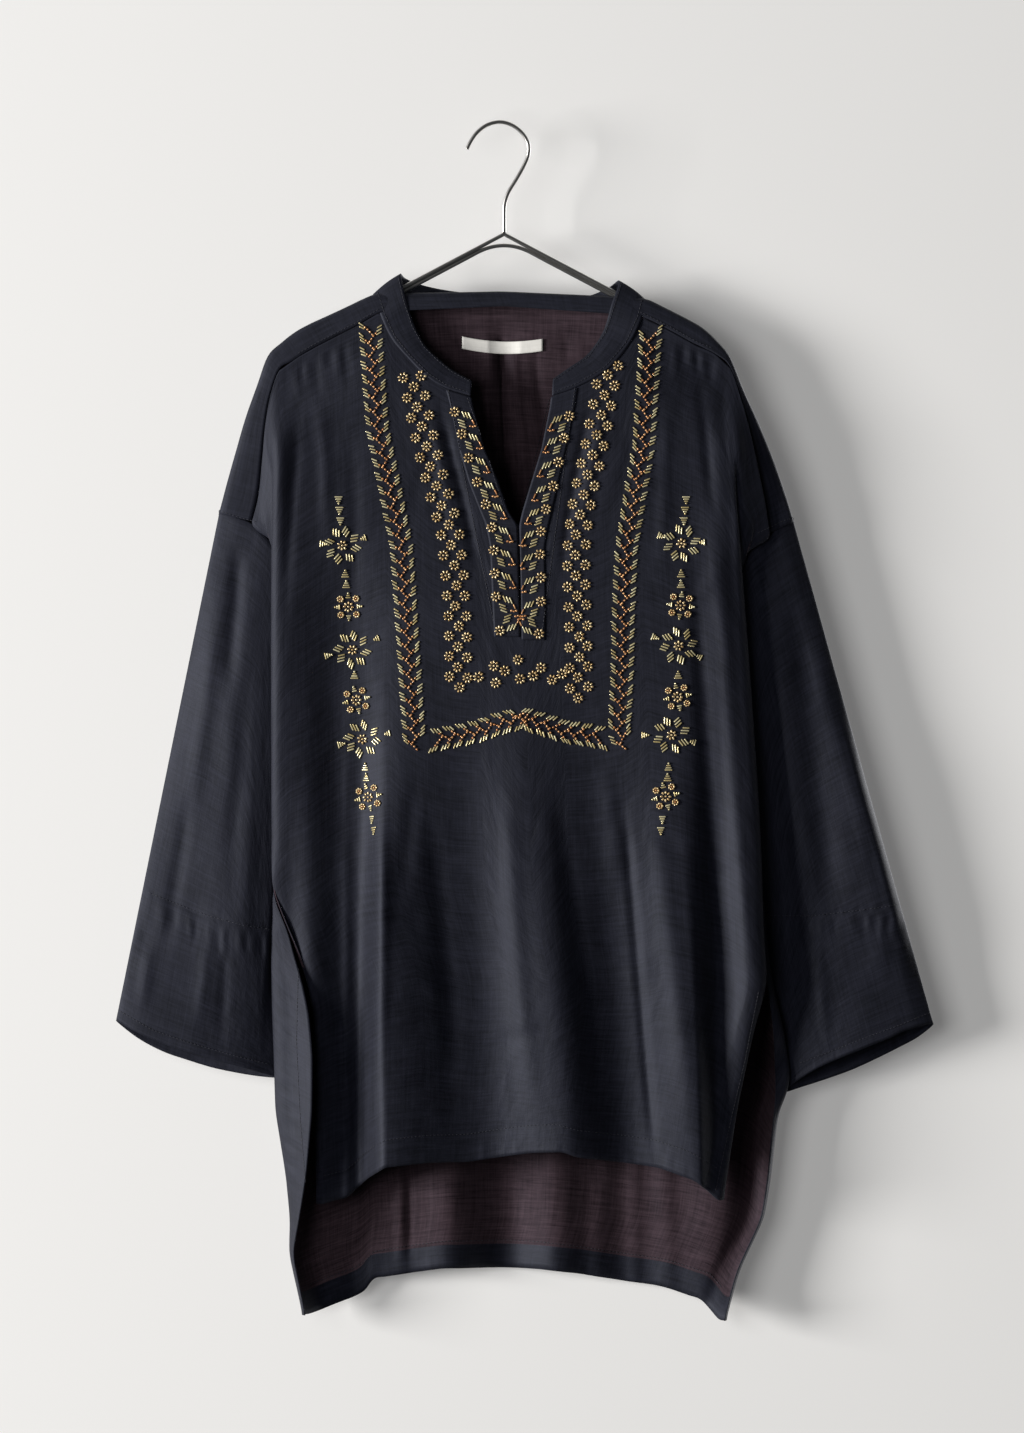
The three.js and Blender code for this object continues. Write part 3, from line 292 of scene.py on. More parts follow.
def front_half(half, rows, cells):
    """Grid of one half of the front from the side edge to the slit's line, rows going down."""
    t = np.linspace(0, 1, rows)[:, None] ** ROWS_POWER_FRONT
    left = half == "left"
    drop, table = (DROP_LEFT, front_left) if left else (DROP_RIGHT, front_right)
    inward = 1 if left else -1
    controls = []
    for step, (sx, sz, _, _) in enumerate(drop):
        fold = table[0](HEM_LEVEL)
        hem_at = {0: table[1](HEM_LEVEL), 1: lerp(table[1](HEM_LEVEL), fold, 0.5)}.get(step, fold)
        z = lerp(sz - SEAM_GAP, front_hem(hem_at), t[:, 0])
        fold, edge, depth = (column(z) for column in table)
        face = front_depth(fold + inward * TURN, z)
        turn = np.clip(depth - face, 4, 12)
        x = (edge, lerp(edge, fold, 0.5), fold + inward * 0.8, fold, fold + inward * 6)[step]
        y = (depth, lerp(depth, face + turn, 0.4), face + turn * 0.85, face + turn * 0.5,
             face + turn * 0.1)[step]
        spread = ease((sz - SEAM_GAP - z) / lerp(DROP_FAN, FAN, (step / SIDE_COLUMNS) ** 2))
        top_x = sx + inward * SEAM_GAP
        controls.append(np.stack([lerp(top_x, x, spread), lerp(SHOULDER_DEPTH, y, spread), z], 1))

    first = 0.0 if left else 1.0

    def main(u):
        top_x = lerp(FORWARD_SEAM[0][0], FORWARD_SEAM[-1][0], u)
        shoulder = seam_z(top_x) - SEAM_GAP
        start = shoulder.copy()
        for _ in range(12):
            x = lerp(top_x, main_x(u, start), ease((shoulder - start) / FAN))
            start = np.maximum(np.minimum(shoulder, TOPS[half](x) - SEAM_GAP), SLIT_TOP)
        start = np.where(np.abs(u - SLIT_SHARE) < 1e-6, SLIT_TOP, start)
        z = lerp(start, front_hem(main_x(u, HEM_LEVEL)), t)
        spread = ease((shoulder - z) / FAN)
        x = lerp(top_x, main_x(u, z), spread)
        return np.stack([x, lerp(SHOULDER_DEPTH, front_depth(x, z), spread), z], 2)

    near = main(np.array([first, first + inward / MAIN_CELLS]))
    side = catmull(controls + [near[:, 0], near[:, 1]], np.arange(0, SIDE_COLUMNS, 1 / SIDE_STEPS))
    middle = np.moveaxis(main(np.linspace(first, SLIT_SHARE, cells)), 1, 0)
    grid = np.stack([*side, *middle], 1)
    opened = 0.8 * ease((grid[:, -1, 2] - SLIT_END) / 16)
    grid[:, -1, 0] = np.where(grid[:, -1, 2] > SLIT_END - 20,
                              lerp(grid[:, -1, 0], 15.2, ease((grid[:, -1, 2] - SLIT_END + 20) / 20)),
                              grid[:, -1, 0]) - inward * opened
    return grid if left else grid[:, ::-1]


OVER_SHOULDER = [(0, SHOULDER_DEPTH, 0), (0.72, -6, 0), (0.96, -3.5, 0), (1, 0, 0),
                 (1, BEHIND_RIDGE, RIDGE_DROP)]


def back_columns():
    """Seam and outline of the shoulder for each of the back's columns."""
    out = list(DROP_LEFT)
    for k in range(MAIN_CELLS + 1):
        x = lerp(FORWARD_SEAM[0][0], FORWARD_SEAM[-1][0], k / MAIN_CELLS)
        rx = lerp(RIDGE[0][0], RIDGE[-1][0], k / MAIN_CELLS)
        out.append((x, float(seam_z(x)), rx, float(ridge_z(rx))))
    return out + DROP_RIGHT[::-1]


def back_at(c, z):
    """Place across the back of one of its columns, as arrays of x and y down z."""
    left, right = c < SIDE_COLUMNS, c > LAST_COLUMN - SIDE_COLUMNS
    fold_l, fold_r = back_left[0](z), back_right[0](z)
    if not left and not right:
        x = lerp(fold_l + TURN, fold_r - TURN, (c - SIDE_COLUMNS) / MAIN_CELLS)
        return x, back_depth(x, z)
    table = back_left if left else back_right
    inward = 1 if left else -1
    fold, edge, depth, turn = (column(z) for column in table)
    face = back_depth(fold + inward * TURN, z)
    step = c if left else LAST_COLUMN - c
    return [(edge, depth), (lerp(edge, fold, 0.45), lerp(depth, turn - 5, 0.55)),
            (lerp(edge, fold, 0.85), lerp(depth, turn - 3, 0.9)), (fold, turn + 2),
            (fold + inward * 6, lerp(turn, face, 0.5))][step]


def back_grid(rows, per):
    """Grid of the back from the forward seam over the shoulder and down, per cells a column."""
    tops = back_columns()
    over = [np.array([(lerp(sx, ox, up), y, lerp(sz, oz, up) - drop) for sx, sz, ox, oz in tops])
            for up, y, drop in OVER_SHOULDER]
    t = np.linspace(0, 1, rows) ** ROWS_POWER_BACK
    body = []
    for c, (_, _, ox, oz) in enumerate(tops):
        step = min(c, LAST_COLUMN - c)
        side = step < SIDE_COLUMNS
        top_z = oz - RIDGE_DROP
        hem = back_hem(back_at(c, np.array([BACK_LEVEL * 1.0]))[0])[0]
        z = lerp(top_z, hem, t)
        x, y = back_at(c, z)
        spread = ease((top_z - z) / (lerp(DROP_FAN, FAN, (step / SIDE_COLUMNS) ** 2) if side else FAN))
        start_y = BEHIND_RIDGE if side else back_start(ox)
        body.append(np.stack([lerp(ox, x, spread), lerp(start_y, y, spread), z], 1))
    body = np.stack(body, 1)
    shoulder = catmull(over + [body[6]], np.arange(0, 4, 0.25))
    grid = np.concatenate([shoulder, body], 0)
    return np.moveaxis(catmull(np.moveaxis(grid, 1, 0),
                               np.linspace(0, LAST_COLUMN, LAST_COLUMN * per + 1)), 0, 1)


def sleeve_grid(table, rings, around):
    """Rings from the armhole to the cuff; each starts outside and runs across the front first."""
    arm = through([row[:3] for row in table], around, closed=True)
    cuff = through([row[3:] for row in table], around, closed=True)
    t = np.linspace(0, 1, rings)[:, None]
    grid = lerp(arm[None], cuff[None], t[..., None])
    half = 2 * np.arange(around) / around
    across = np.where(half <= 1, half, 2 - half)
    puff = np.sin(np.pi * np.minimum(1, across / 0.7)) * np.sin(np.pi * t)
    grid[..., 1] += np.where(half <= 1, -1, 1) * SLEEVE_FULLNESS * puff
    return grid


def collar_grid(steps, rows):
    """Band from just below its seam up to its top, from the left front end round the back."""
    face = {"front": front_face, "ridge": lambda x, z: 0.0, "back": back_face}
    seam = through([(row[1], float(face[row[0]](row[1], row[2])), row[2]) for row in COLLAR], steps)
    top = through([row[3:] for row in COLLAR], steps)
    rise = top - seam
    start = seam - 0.8 * rise / np.linalg.norm(rise, axis=1, keepdims=True)
    v = np.linspace(0, 1, rows)[:, None, None]
    grid = lerp(start[None], top[None], v)
    grid[..., 2] += 1.5 * np.sin(np.pi * v[..., 0])
    return grid


# ---- meshes -------------------------------------------------------------------------------
def grid_normals(grid, side, wraps):
    along = np.gradient(grid, axis=0)
    if wraps:
        across = (np.roll(grid, -1, axis=1) - np.roll(grid, 1, axis=1)) / 2
    else:
        across = np.gradient(grid, axis=1)
    normal = side * np.cross(along, across)
    return normal / np.maximum(np.linalg.norm(normal, axis=2, keepdims=True), 1e-9)


def cloth_uv(grid, wraps):
    """Cloth coordinates in metres: across and down, from the lengths on the cloth."""
    across = np.linalg.norm(np.diff(grid, axis=1), axis=2).mean(0)
    down = np.linalg.norm(np.diff(grid, axis=0), axis=2).mean(1)
    u = np.concatenate([[0], np.cumsum(across)])
    v = np.concatenate([[0], np.cumsum(down)])
    return np.stack(np.broadcast_arrays(u[None, :], -v[:, None]), 2) / 1000


def add_mesh(name, points, faces, uv=None, slots=None, materials=()):
    """Object from points in the tables' millimetres and an array of faces with four corners."""
    mesh = bpy.data.meshes.new(name)
    mesh.vertices.add(len(points))
    mesh.vertices.foreach_set("co", ((points + OFFSET) / 1000).astype(np.float32).ravel())
    corners = faces.shape[1]
    mesh.loops.add(faces.size)
    mesh.loops.foreach_set("vertex_index", faces.astype(np.int32).ravel())
    mesh.polygons.add(len(faces))
    mesh.polygons.foreach_set("loop_start", np.arange(0, faces.size, corners, dtype=np.int32))
    mesh.polygons.foreach_set("loop_total", np.full(len(faces), corners, np.int32))
    mesh.polygons.foreach_set("use_smooth", np.ones(len(faces), bool))
    for material in materials:
        mesh.materials.append(material)
    if slots is not None:
        mesh.polygons.foreach_set("material_index", slots.astype(np.int32))
    if uv is not None:
        layer = mesh.uv_layers.new(name="cloth")
        layer.data.foreach_set("uv", uv[faces.ravel()].astype(np.float32).ravel())
    mesh.update(calc_edges=True)
    mesh.validate()
    thing = bpy.data.objects.new(name, mesh)
    scene.collection.objects.link(thing)
    return thing


def shell_parts(grid, side, thickness, wraps, inner_slot, normal=None, rims_to=(None, None)):
    """Points, faces, uv and slots of a closed thin wall behind a grid.

    rims_to says down to which row the rims of the first and last columns run.
    """
    rows, width = grid.shape[:2]
    if normal is None:
        normal = grid_normals(grid, side, wraps)
    inner = grid - normal * thickness
    count = rows * width
    points = np.concatenate([grid.reshape(-1, 3), inner.reshape(-1, 3)])
    uv = cloth_uv(grid, wraps).reshape(-1, 2)
    uv = np.concatenate([uv, uv])
    cells = width if wraps else width - 1
    r, c = np.meshgrid(np.arange(rows - 1), np.arange(cells), indexing="ij")
    nxt = (c + 1) % width
    a, b, d, e = r * width + c, (r + 1) * width + c, (r + 1) * width + nxt, r * width + nxt
    outer = np.stack([a, b, d, e], 2).reshape(-1, 4)
    inside = np.stack([a, e, d, b], 2).reshape(-1, 4) + count
    k = np.arange(cells)
    nk = (k + 1) % width
    last = (rows - 1) * width
    rims = [np.stack([k + count, k, nk, nk + count], 1),
            np.stack([last + k, last + k + count, last + nk + count, last + nk], 1)]
    if not wraps:
        q = (np.arange(rows - 1) * width)[:rims_to[0]]
        rims.append(np.stack([q + count, q + width + count, q + width, q], 1))
        w = (np.arange(rows - 1) * width)[:rims_to[1]] + width - 1
        rims.append(np.stack([w, w + width, w + width + count, w + count], 1))
    rims = np.concatenate(rims)
    faces = np.concatenate([outer, inside, rims])
    if side < 0:
        faces = faces[:, ::-1]
    slots = np.zeros(len(faces), int)
    slots[len(outer):len(outer) + len(inside)] = inner_slot(r.ravel(), c.ravel())
    return points, faces, uv, slots


# ---- materials ----------------------------------------------------------------------------
class Look:
    """A material's nodes, and the few kinds of step that the looks here are made of."""

    def __init__(self, name):
        self.material = bpy.data.materials.new(name)
        self.material.use_nodes = True
        self.nodes, self.links = self.material.node_tree.nodes, self.material.node_tree.links
        self.shader = self.nodes["Principled BSDF"]

    def plug(self, value, socket):
        """Gives an input a value or another node's output."""
        if isinstance(value, bpy.types.NodeSocket):
            self.links.new(value, socket)
        else:
            socket.default_value = value

    def settle(self, node=None, **inputs):
        """Inputs by name, with _ for a space, of a node or of the shader."""
        node = node or self.shader
        for name, value in inputs.items():
            self.plug(value, node.inputs[name.replace("_", " ")])
        return node

    def add(self, kind, **inputs):
        return self.settle(self.nodes.new("ShaderNode" + kind), **inputs).outputs

    def cloth_place(self):
        node = self.nodes.new("ShaderNodeUVMap")
        node.uv_map = "cloth"
        return node.outputs[0]

    def maths(self, kind, *values):
        node = self.nodes.new("ShaderNodeMath")
        node.operation = kind
        for value, socket in zip(values, node.inputs):
            self.plug(value, socket)
        return node.outputs[0]

    def weighed(self, layers):
        """Sum of values, each times its share."""
        parts = [self.maths("MULTIPLY", value, share) for value, share in layers]
        total = parts[0]
        for part in parts[1:]:
            total = self.maths("ADD", total, part)
        return total

    def streaks(self, source, along, across, detail=3.0):
        """Noise stretched into slubs; along and across are its repeats per metre."""
        stretched = self.add("Mapping", Vector=source, Scale=(along, across, 1.0))[0]
        return self.add("TexNoise", Vector=stretched, Scale=1.0, Detail=detail, Roughness=0.6)["Fac"]

    def shade(self, source, dark, light, ends=(0.0, 1.0)):
        """Colour between dark and light after a value."""
        ramp = self.nodes.new("ShaderNodeValToRGB")
        for stop, place, colour in zip(ramp.color_ramp.elements, ends, (dark, light)):
            stop.position, stop.color = place, (*colour, 1)
        self.plug(source, ramp.inputs["Fac"])
        return ramp.outputs["Color"]

    def spread(self, source, low, high):
        return self.add("MapRange", Value=source, To_Min=low, To_Max=high)["Result"]


def linen(name, dark, light, sheen, rough=0.66, bump=0.6, gloss=0.36):
    """Plain slub weave: dark and light are the colours of its thin and thick threads."""
    look = Look(name)
    cloth = look.cloth_place()
    # Slubs across and down, longer ones both ways, and cloudy patches.
    thread = look.weighed([(look.streaks(cloth, *repeats), share) for repeats, share in (
        ((45, 900), 0.26), ((900, 40), 0.18), ((14, 330, 2.0), 0.24), ((360, 13, 2.0), 0.16),
        ((30, 34, 4.0), 0.16))])
    crumple = look.weighed([(look.streaks(cloth, 20, 17, 2.0), 1.0),
                            (look.streaks(cloth, 70, 85, 2.0), 0.25)])
    soft = look.add("Bump", Height=crumple, Strength=0.3, Distance=0.004)["Normal"]
    woven = look.add("Bump", Height=thread, Strength=bump, Distance=0.0006, Normal=soft)["Normal"]
    look.settle(Base_Color=look.shade(thread, dark, light, (0.38, 0.62)), Roughness=rough, Normal=woven,
                Specular_IOR_Level=gloss, Specular_Tint=(0.80, 0.84, 1.0, 1),
                Sheen_Weight=sheen, Sheen_Roughness=0.5)
    return look.material


def metal(name, base, rough, brushed=0.0):
    look = Look(name)
    grain = look.streaks(look.add("TexCoord")["Object"], 260, 260)
    look.settle(Base_Color=(*base, 1), Metallic=1.0,
                Roughness=look.spread(grain, rough * (1 - brushed), rough * (1 + brushed)))
    return look.material


navy = linen("linen_outside", (0.0020, 0.0023, 0.0044), (0.0165, 0.0175, 0.0285), 0.02, gloss=0.42)
plum = linen("linen_inside", (0.016, 0.0102, 0.0128), (0.068, 0.045, 0.055), 0.02, gloss=0.12)
tape = linen("label_tape", (0.80, 0.78, 0.73), (0.93, 0.91, 0.86), 0.05, bump=0.15)
steel = metal("hanger_steel", (0.60, 0.59, 0.57), 0.34, 0.2)

# ---- creases ------------------------------------------------------------------------------
# (out, half width, end softness, points in measured pixels); a valley has a negative out
FRONT_CREASES = [
    (4.5, 8, 0.25, [(380, 790), (381, 900), (377, 1000), (371, 1100), (366, 1185)]),
    (-12.0, 40, 0.35, [(342, 500), (344, 660), (350, 790), (358, 900)]),
    (-2.6, 8, 0.25, [(347, 770), (350, 860), (351, 940), (350, 1010), (349, 1070)]),
    (6.5, 27, 0.35, [(277, 375), (270, 470), (268, 590)]),
    (8.0, 27, 0.35, [(742, 365), (750, 470), (752, 600)]),
    (-2.8, 4.5, 0.2, [(622, 790), (632, 900), (643, 1030), (655, 1165)]),
    (3.0, 8, 0.3, [(706, 480), (724, 640), (736, 860), (748, 1000)]),
    (-3.2, 8, 0.3, [(690, 520), (703, 700), (712, 880), (730, 1060)]),
    (3.2, 10, 0.35, [(506, 745), (512, 900), (520, 1000), (536, 1145)]),
    (-3.0, 10, 0.35, [(552, 760), (572, 900), (588, 1010), (600, 1140)]),
    (2.6, 11, 0.35, [(652, 760), (664, 900), (676, 1000), (694, 1160)]),
    (-2.6, 10, 0.4, [(424, 760), (440, 900), (452, 1020), (446, 1140)]),
    (1.8, 6, 0.4, [(285, 400), (280, 470), (276, 540)]),
    (-2.0, 5, 0.4, [(300, 385), (296, 460), (290, 540), (284, 640)]),
    (1.5, 6, 0.4, [(318, 375), (325, 450), (330, 570)]),
    (-1.3, 7, 0.4, [(352, 420), (356, 520), (352, 640)]),
    (-2.4, 6, 0.35, [(720, 375), (727, 450), (731, 540), (736, 650)]),
    (2.0, 6, 0.35, [(736, 400), (741, 480), (745, 570)]),
    (-1.8, 5, 0.4, [(697, 365), (705, 430), (712, 530)]),
    (1.4, 7, 0.4, [(668, 380), (664, 480), (662, 600)]),
    (1.6, 5, 0.3, [(428, 400), (438, 450), (450, 510), (466, 570)]),
    (-2.0, 4, 0.3, [(438, 392), (450, 450), (466, 512), (480, 580)]),
    (-1.8, 4, 0.3, [(592, 392), (581, 450), (568, 520), (560, 590)]),
    (1.6, 5, 0.3, [(604, 400), (593, 460), (580, 530)]),
    (-1.5, 8, 0.4, [(420, 752), (410, 830), (398, 920)]),
    (1.5, 8, 0.4, [(604, 752), (612, 830), (616, 900)]),
    (1.2, 9, 0.45, [(396, 960), (450, 1003), (510, 1012)]),
    (-1.2, 8, 0.45, [(470, 1052), (540, 1030), (606, 1050)]),
    (1.0, 8, 0.45, [(560, 925), (612, 958), (668, 950)]),
    (-1.0, 7, 0.45, [(392, 1090), (440, 1075), (490, 1098)]),
]
BACK_CREASES = [
    (11.0, 21, 0.12, [(776, 1030), (776, 1120), (764, 1216), (740, 1275), (725, 1322)]),
    (8.0, 3.2, 0.12, [(501, 330), (501, 355), (503, 408), (505, 467), (508, 560)]),
    (-3.6, 3.6, 0.2, [(491, 335), (488, 400), (484, 470), (480, 560)]),
    (-3.6, 3.6, 0.2, [(512, 335), (518, 400), (525, 467), (531, 560)]),
    (2.2, 4.5, 0.25, [(474, 345), (468, 400), (466, 470)]),
    (2.2, 4.5, 0.25, [(532, 345), (541, 400), (546, 470)]),
    (2.5, 5, 0.3, [(407, 1100), (408, 1180), (409, 1272)]),
    (-2.5, 5, 0.3, [(398, 1120), (400, 1200), (401, 1275)]),
    (2.0, 9, 0.4, [(470, 1000), (474, 1120), (470, 1250)]),
    (-1.6, 8, 0.4, [(530, 980), (534, 1120), (540, 1250)]),
    (2.0, 8, 0.4, [(604, 990), (600, 1120), (590, 1260)]),
    (-1.8, 9, 0.4, [(655, 1000), (660, 1130), (668, 1270)]),
    (1.6, 8, 0.4, [(350, 1000), (346, 1130), (338, 1280)]),
    (2.2, 8, 0.35, [(430, 420), (440, 600), (436, 800)]),
    (-2.0, 9, 0.35, [(560, 430), (566, 620), (560, 860)]),
    (2.0, 9, 0.35, [(640, 460), (648, 650), (640, 900)]),
    (-1.8, 8, 0.4, [(360, 470), (352, 640), (356, 860)]),
    (1.5, 7, 0.4, [(300, 420), (306, 520), (300, 660)]),
    (-1.5, 7, 0.4, [(712, 430), (704, 560), (708, 700)]),
]
# Sleeves: front layer first, then the layer behind.
SLEEVE_CREASES = {
    "left": ([(11.0, 48, 0.3, [(252, 560), (250, 760), (246, 1050)]),
              (-2.4, 7, 0.3, [(238, 530), (236, 600), (228, 700)]),
              (1.8, 9, 0.35, [(222, 560), (206, 700), (186, 860)]),
              (-1.6, 8, 0.4, [(250, 640), (240, 780), (226, 900)]),
              (1.4, 8, 0.4, [(256, 760), (246, 880), (240, 1000)]),
              (-1.4, 7, 0.4, [(196, 760), (176, 880), (160, 980)]),
              (1.2, 6, 0.4, [(210, 930), (204, 985), (196, 1035)]),
              (-1.3, 5, 0.4, [(226, 935), (224, 990), (220, 1050)]),
              (1.2, 6, 0.4, [(150, 930), (146, 975), (140, 1015)])],
             [(2.0, 9, 0.35, [(236, 560), (220, 720), (200, 880)]),
              (-2.0, 9, 0.35, [(256, 620), (244, 800), (236, 980)]),
              (1.4, 8, 0.4, [(180, 800), (160, 930), (150, 1010)])]),
    "right": ([(-5.0, 15, 0.3, [(788, 560), (806, 700), (824, 850), (838, 960)]),
               (6.5, 19, 0.35, [(842, 680), (874, 820), (896, 930), (904, 1010)]),
               (-2.0, 7, 0.35, [(768, 640), (782, 780), (796, 900)]),
               (1.8, 7, 0.35, [(776, 760), (790, 880), (800, 980)]),
               (-1.6, 7, 0.4, [(858, 800), (886, 920), (904, 1000)]),
               (1.4, 6, 0.4, [(816, 930), (822, 990), (826, 1050)])],
              [(2.0, 9, 0.35, [(806, 560), (836, 720), (862, 880)]),
               (-2.0, 9, 0.35, [(780, 620), (800, 800), (816, 980)]),
               (1.4, 8, 0.4, [(860, 800), (884, 930), (900, 1010)])]),
}


def gathers(start, end, count, drop, out):
    """Short soft ripples that fall from a seam, uneven in length and height."""
    lines = []
    for k in range(count):
        t = (k + random.uniform(0.25, 0.75)) / count
        x, y = lerp(start[0], end[0], t), lerp(start[1], end[1], t) + 3
        fall = drop * random.uniform(0.5, 1.2)
        lean = random.uniform(-4, 4)
        lines.append(((-1) ** k * out * random.uniform(0.5, 1.1), random.uniform(2.6, 4.2), 0.4,
                      [(x, y), (x + lean * 0.6, y + fall * 0.5), (x + lean, y + fall)]))
    return lines


def crumples(count, area, out):
    """Faint short creases of worn linen, strewn over an area in measured pixels."""
    lines = []
    for _ in range(count):
        x, y = random.uniform(area[0], area[2]), random.uniform(area[1], area[3])
        way = math.radians(random.choice((90, 90, 60, 120, 20, 160)) + random.uniform(-18, 18))
        half = random.uniform(20, 55)
        dx, dy = half * math.cos(way), half * math.sin(way)
        bend = random.uniform(-5, 5)
        lines.append((random.choice((-1, 1)) * out * random.uniform(0.4, 1.0), random.uniform(7, 14), 0.45,
                      [(x - dx, y - dy), (x + bend, y + bend), (x + dx, y + dy)]))
    return lines


BACK_CREASES += [(1.3, 4.0, 0.4, [(281, y), (303, y + 16)]) for y in range(985, 1190, 19)]
FRONT_CREASES += gathers((292, 362), (356, 330), 9, 46, 0.9)
FRONT_CREASES += gathers((672, 334), (722, 356), 7, 46, 0.9)
FRONT_CREASES += gathers((470, 1132), (700, 1150), 12, 30, 0.5)
FRONT_CREASES += crumples(36, (285, 380, 740, 1120), 1.1)
BACK_CREASES += gathers((430, 325), (590, 325), 10, 60, 0.9)
BACK_CREASES += crumples(34, (270, 360, 750, 1280), 1.1)
for name, area in (("left", (150, 540, 262, 1030)), ("right", (770, 560, 900, 1030))):
    for layer in SLEEVE_CREASES[name]:
        layer += crumples(12, area, 1.1)


def crease_height(creases, x, z):
    """Sum of soft ridges and troughs laid along short bent lines."""
    total = np.zeros_like(x)
    for out, half, soft, line in creases:
        places = np.array([picked(*p) for p in line])
        seg = np.diff(places, axis=0)
        length = np.linalg.norm(seg, axis=1)
        whole = length.sum()
        nearest = np.full(x.shape, 1e9)
        share = np.zeros_like(x)
        run = 0.0
        for p, s, l in zip(places[:-1], seg, length):
            t = np.clip(((x - p[0]) * s[0] + (z - p[1]) * s[1]) / l ** 2, 0, 1)
            d = np.hypot(x - p[0] - t * s[0], z - p[1] - t * s[1])
            closer = d < nearest
            nearest = np.where(closer, d, nearest)
            share = np.where(closer, run + t * l, share)
            run += l
        fade = ease(share / max(soft * whole, 1)) * ease((whole - share) / max(soft * whole, 1))
        total += out * np.exp(-(nearest / half) ** 2) * fade
    return total


# ---- front --------------------------------------------------------------------------------
HEM_TURN = 26
# (chest x, hem x, out) on top of the solid's folds
FRONT_DEEPER = [(-205, -201, 1), (-182, -180, 8), (-150, -150, -1), (-132, -134, -17), (-110, -110, 4),
                (-45, -15, -2), (12, 60, 1), (78, 115, -2), (158, 183, 1), (202, 200, -4), (228, 236, 3)]


def front_relief(grid):
    grid = grid.copy()
    grid[..., 1] -= fold_wave(FRONT_DEEPER, grid[..., 0], grid[..., 2])
    grid[..., 1] -= crease_height(FRONT_CREASES, grid[..., 0], grid[..., 2])
    above = grid[..., 2] - grid[-1:, :, 2]
    grid[..., 1] += 0.5 * np.exp(-((above - HEM_TURN) / 2.6) ** 2)
    return grid


ROWS_FRONT = 226
front_grids = [front_relief(front_half("left", ROWS_FRONT, 92)),
               front_relief(front_half("right", ROWS_FRONT, 84))]


def inside_is(facing_rows):
    """Slot 1, the inside colour, except on the turned-up rows."""
    return lambda r, c: np.where(r >= facing_rows, 0, 1)


def joined(parts):
    """One list of points, faces, uv and slots from several."""
    points, faces, uvs, slots, base = [], [], [], [], 0
    for p, f, u, s in parts:
        points.append(p)
        faces.append(f + base)
        uvs.append(u)
        slots.append(s)
        base += len(p)
    return np.concatenate(points), np.concatenate(faces), np.concatenate(uvs), np.concatenate(slots)


def weld(thing, within=0.00005):
    """Joins the two halves along their shared line."""
    work = bmesh.new()
    work.from_mesh(thing.data)
    bmesh.ops.remove_doubles(work, verts=work.verts, dist=within)
    work.to_mesh(thing.data)
    work.free()


def finish_piece(thing, slot, *nodes):
    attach(thing, "root")
    if nodes:
        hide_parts(*nodes)
    return thing


def cloth_piece(name, parts, slot, node, materials=(navy, plum)):
    """Closed shell in the place of one solid."""
    points, faces, uv, slots = parts
    thing = add_mesh(name, points, faces, uv=uv, slots=slots, materials=materials)
    return finish_piece(thing, slot, node)


whole_front = np.concatenate([front_grids[0], front_grids[1][:, 1:]], 1)
whole_normal = grid_normals(whole_front, 1, False)
middle = front_grids[0].shape[1] - 1
slit_rows = int((front_grids[0][:, -1, 2] > SLIT_END).sum())
facing = inside_is(int((whole_front[:, 60, 2] - whole_front[-1, 60, 2] > HEM_TURN).sum()))
parts = joined([
    shell_parts(front_grids[0], 1, WALL, False, facing, whole_normal[:, :middle + 1], (None, slit_rows)),
    shell_parts(front_grids[1], 1, WALL, False, facing, whole_normal[:, middle:], (slit_rows, None))])
front = add_mesh("front_cloth", parts[0], parts[1], uv=parts[2], slots=parts[3], materials=(navy, plum))
weld(front)
finish_piece(front, "linen", "front_panel")

# ---- back ---------------------------------------------------------------------------------
# The same for the back, where out is towards the wall.
BACK_DEEPER = [(-205, -205, 0), (-165, -160, -3), (-128, -129, 6), (-90, -92, -8), (-56, -56, -9),
               (-1, -1, 7), (48, 50, -7), (84, 82, -5), (116, 116, 13), (130, 128, 12), (166, 160, -3),
               (212, 202, -7), (256, 246, 4)]
back_points = back_grid(205, 5)
back_points[..., 1] += fold_wave(BACK_DEEPER, back_points[..., 0], back_points[..., 2])
back_points[..., 1] += crease_height(BACK_CREASES, back_points[..., 0], back_points[..., 2])
facing = inside_is(int((back_points[:, 110, 2] - back_points[-1, 110, 2] > HEM_TURN + 2).sum()))
back = cloth_piece("back_cloth", shell_parts(back_points, -1, WALL, False, facing), "linen", "back_panel")

# ---- sleeves ------------------------------------------------------------------------------
SEAM_TUCK = 4.0  # the sleeve's top runs this far up inside the shoulder
DEEP_HEM = 0.725  # share of the sleeve's length where the deep turned-up hem is sewn
# The deep hem's sewn line, with short gathers that hang from it.
SEWN = {"left": [(150, 893), (188, 908), (214, 917), (245, 925), (271, 929)],
        "right": [(768, 915), (810, 916), (859, 910), (888, 906), (912, 900)]}
SLEEVE_SEAMS = {name: ([(1.0, 1.6, 0.02, line)]
                       + gathers(line[0], line[2], 6, 30, 0.7)
                       + gathers(line[2], line[-1], 8, 34, 0.9), line)
                for name, line in SEWN.items()}
SLEEVE_LEVEL = {"left": 0.9, "right": 0.4}  # how much of the fullness the flat front layer loses


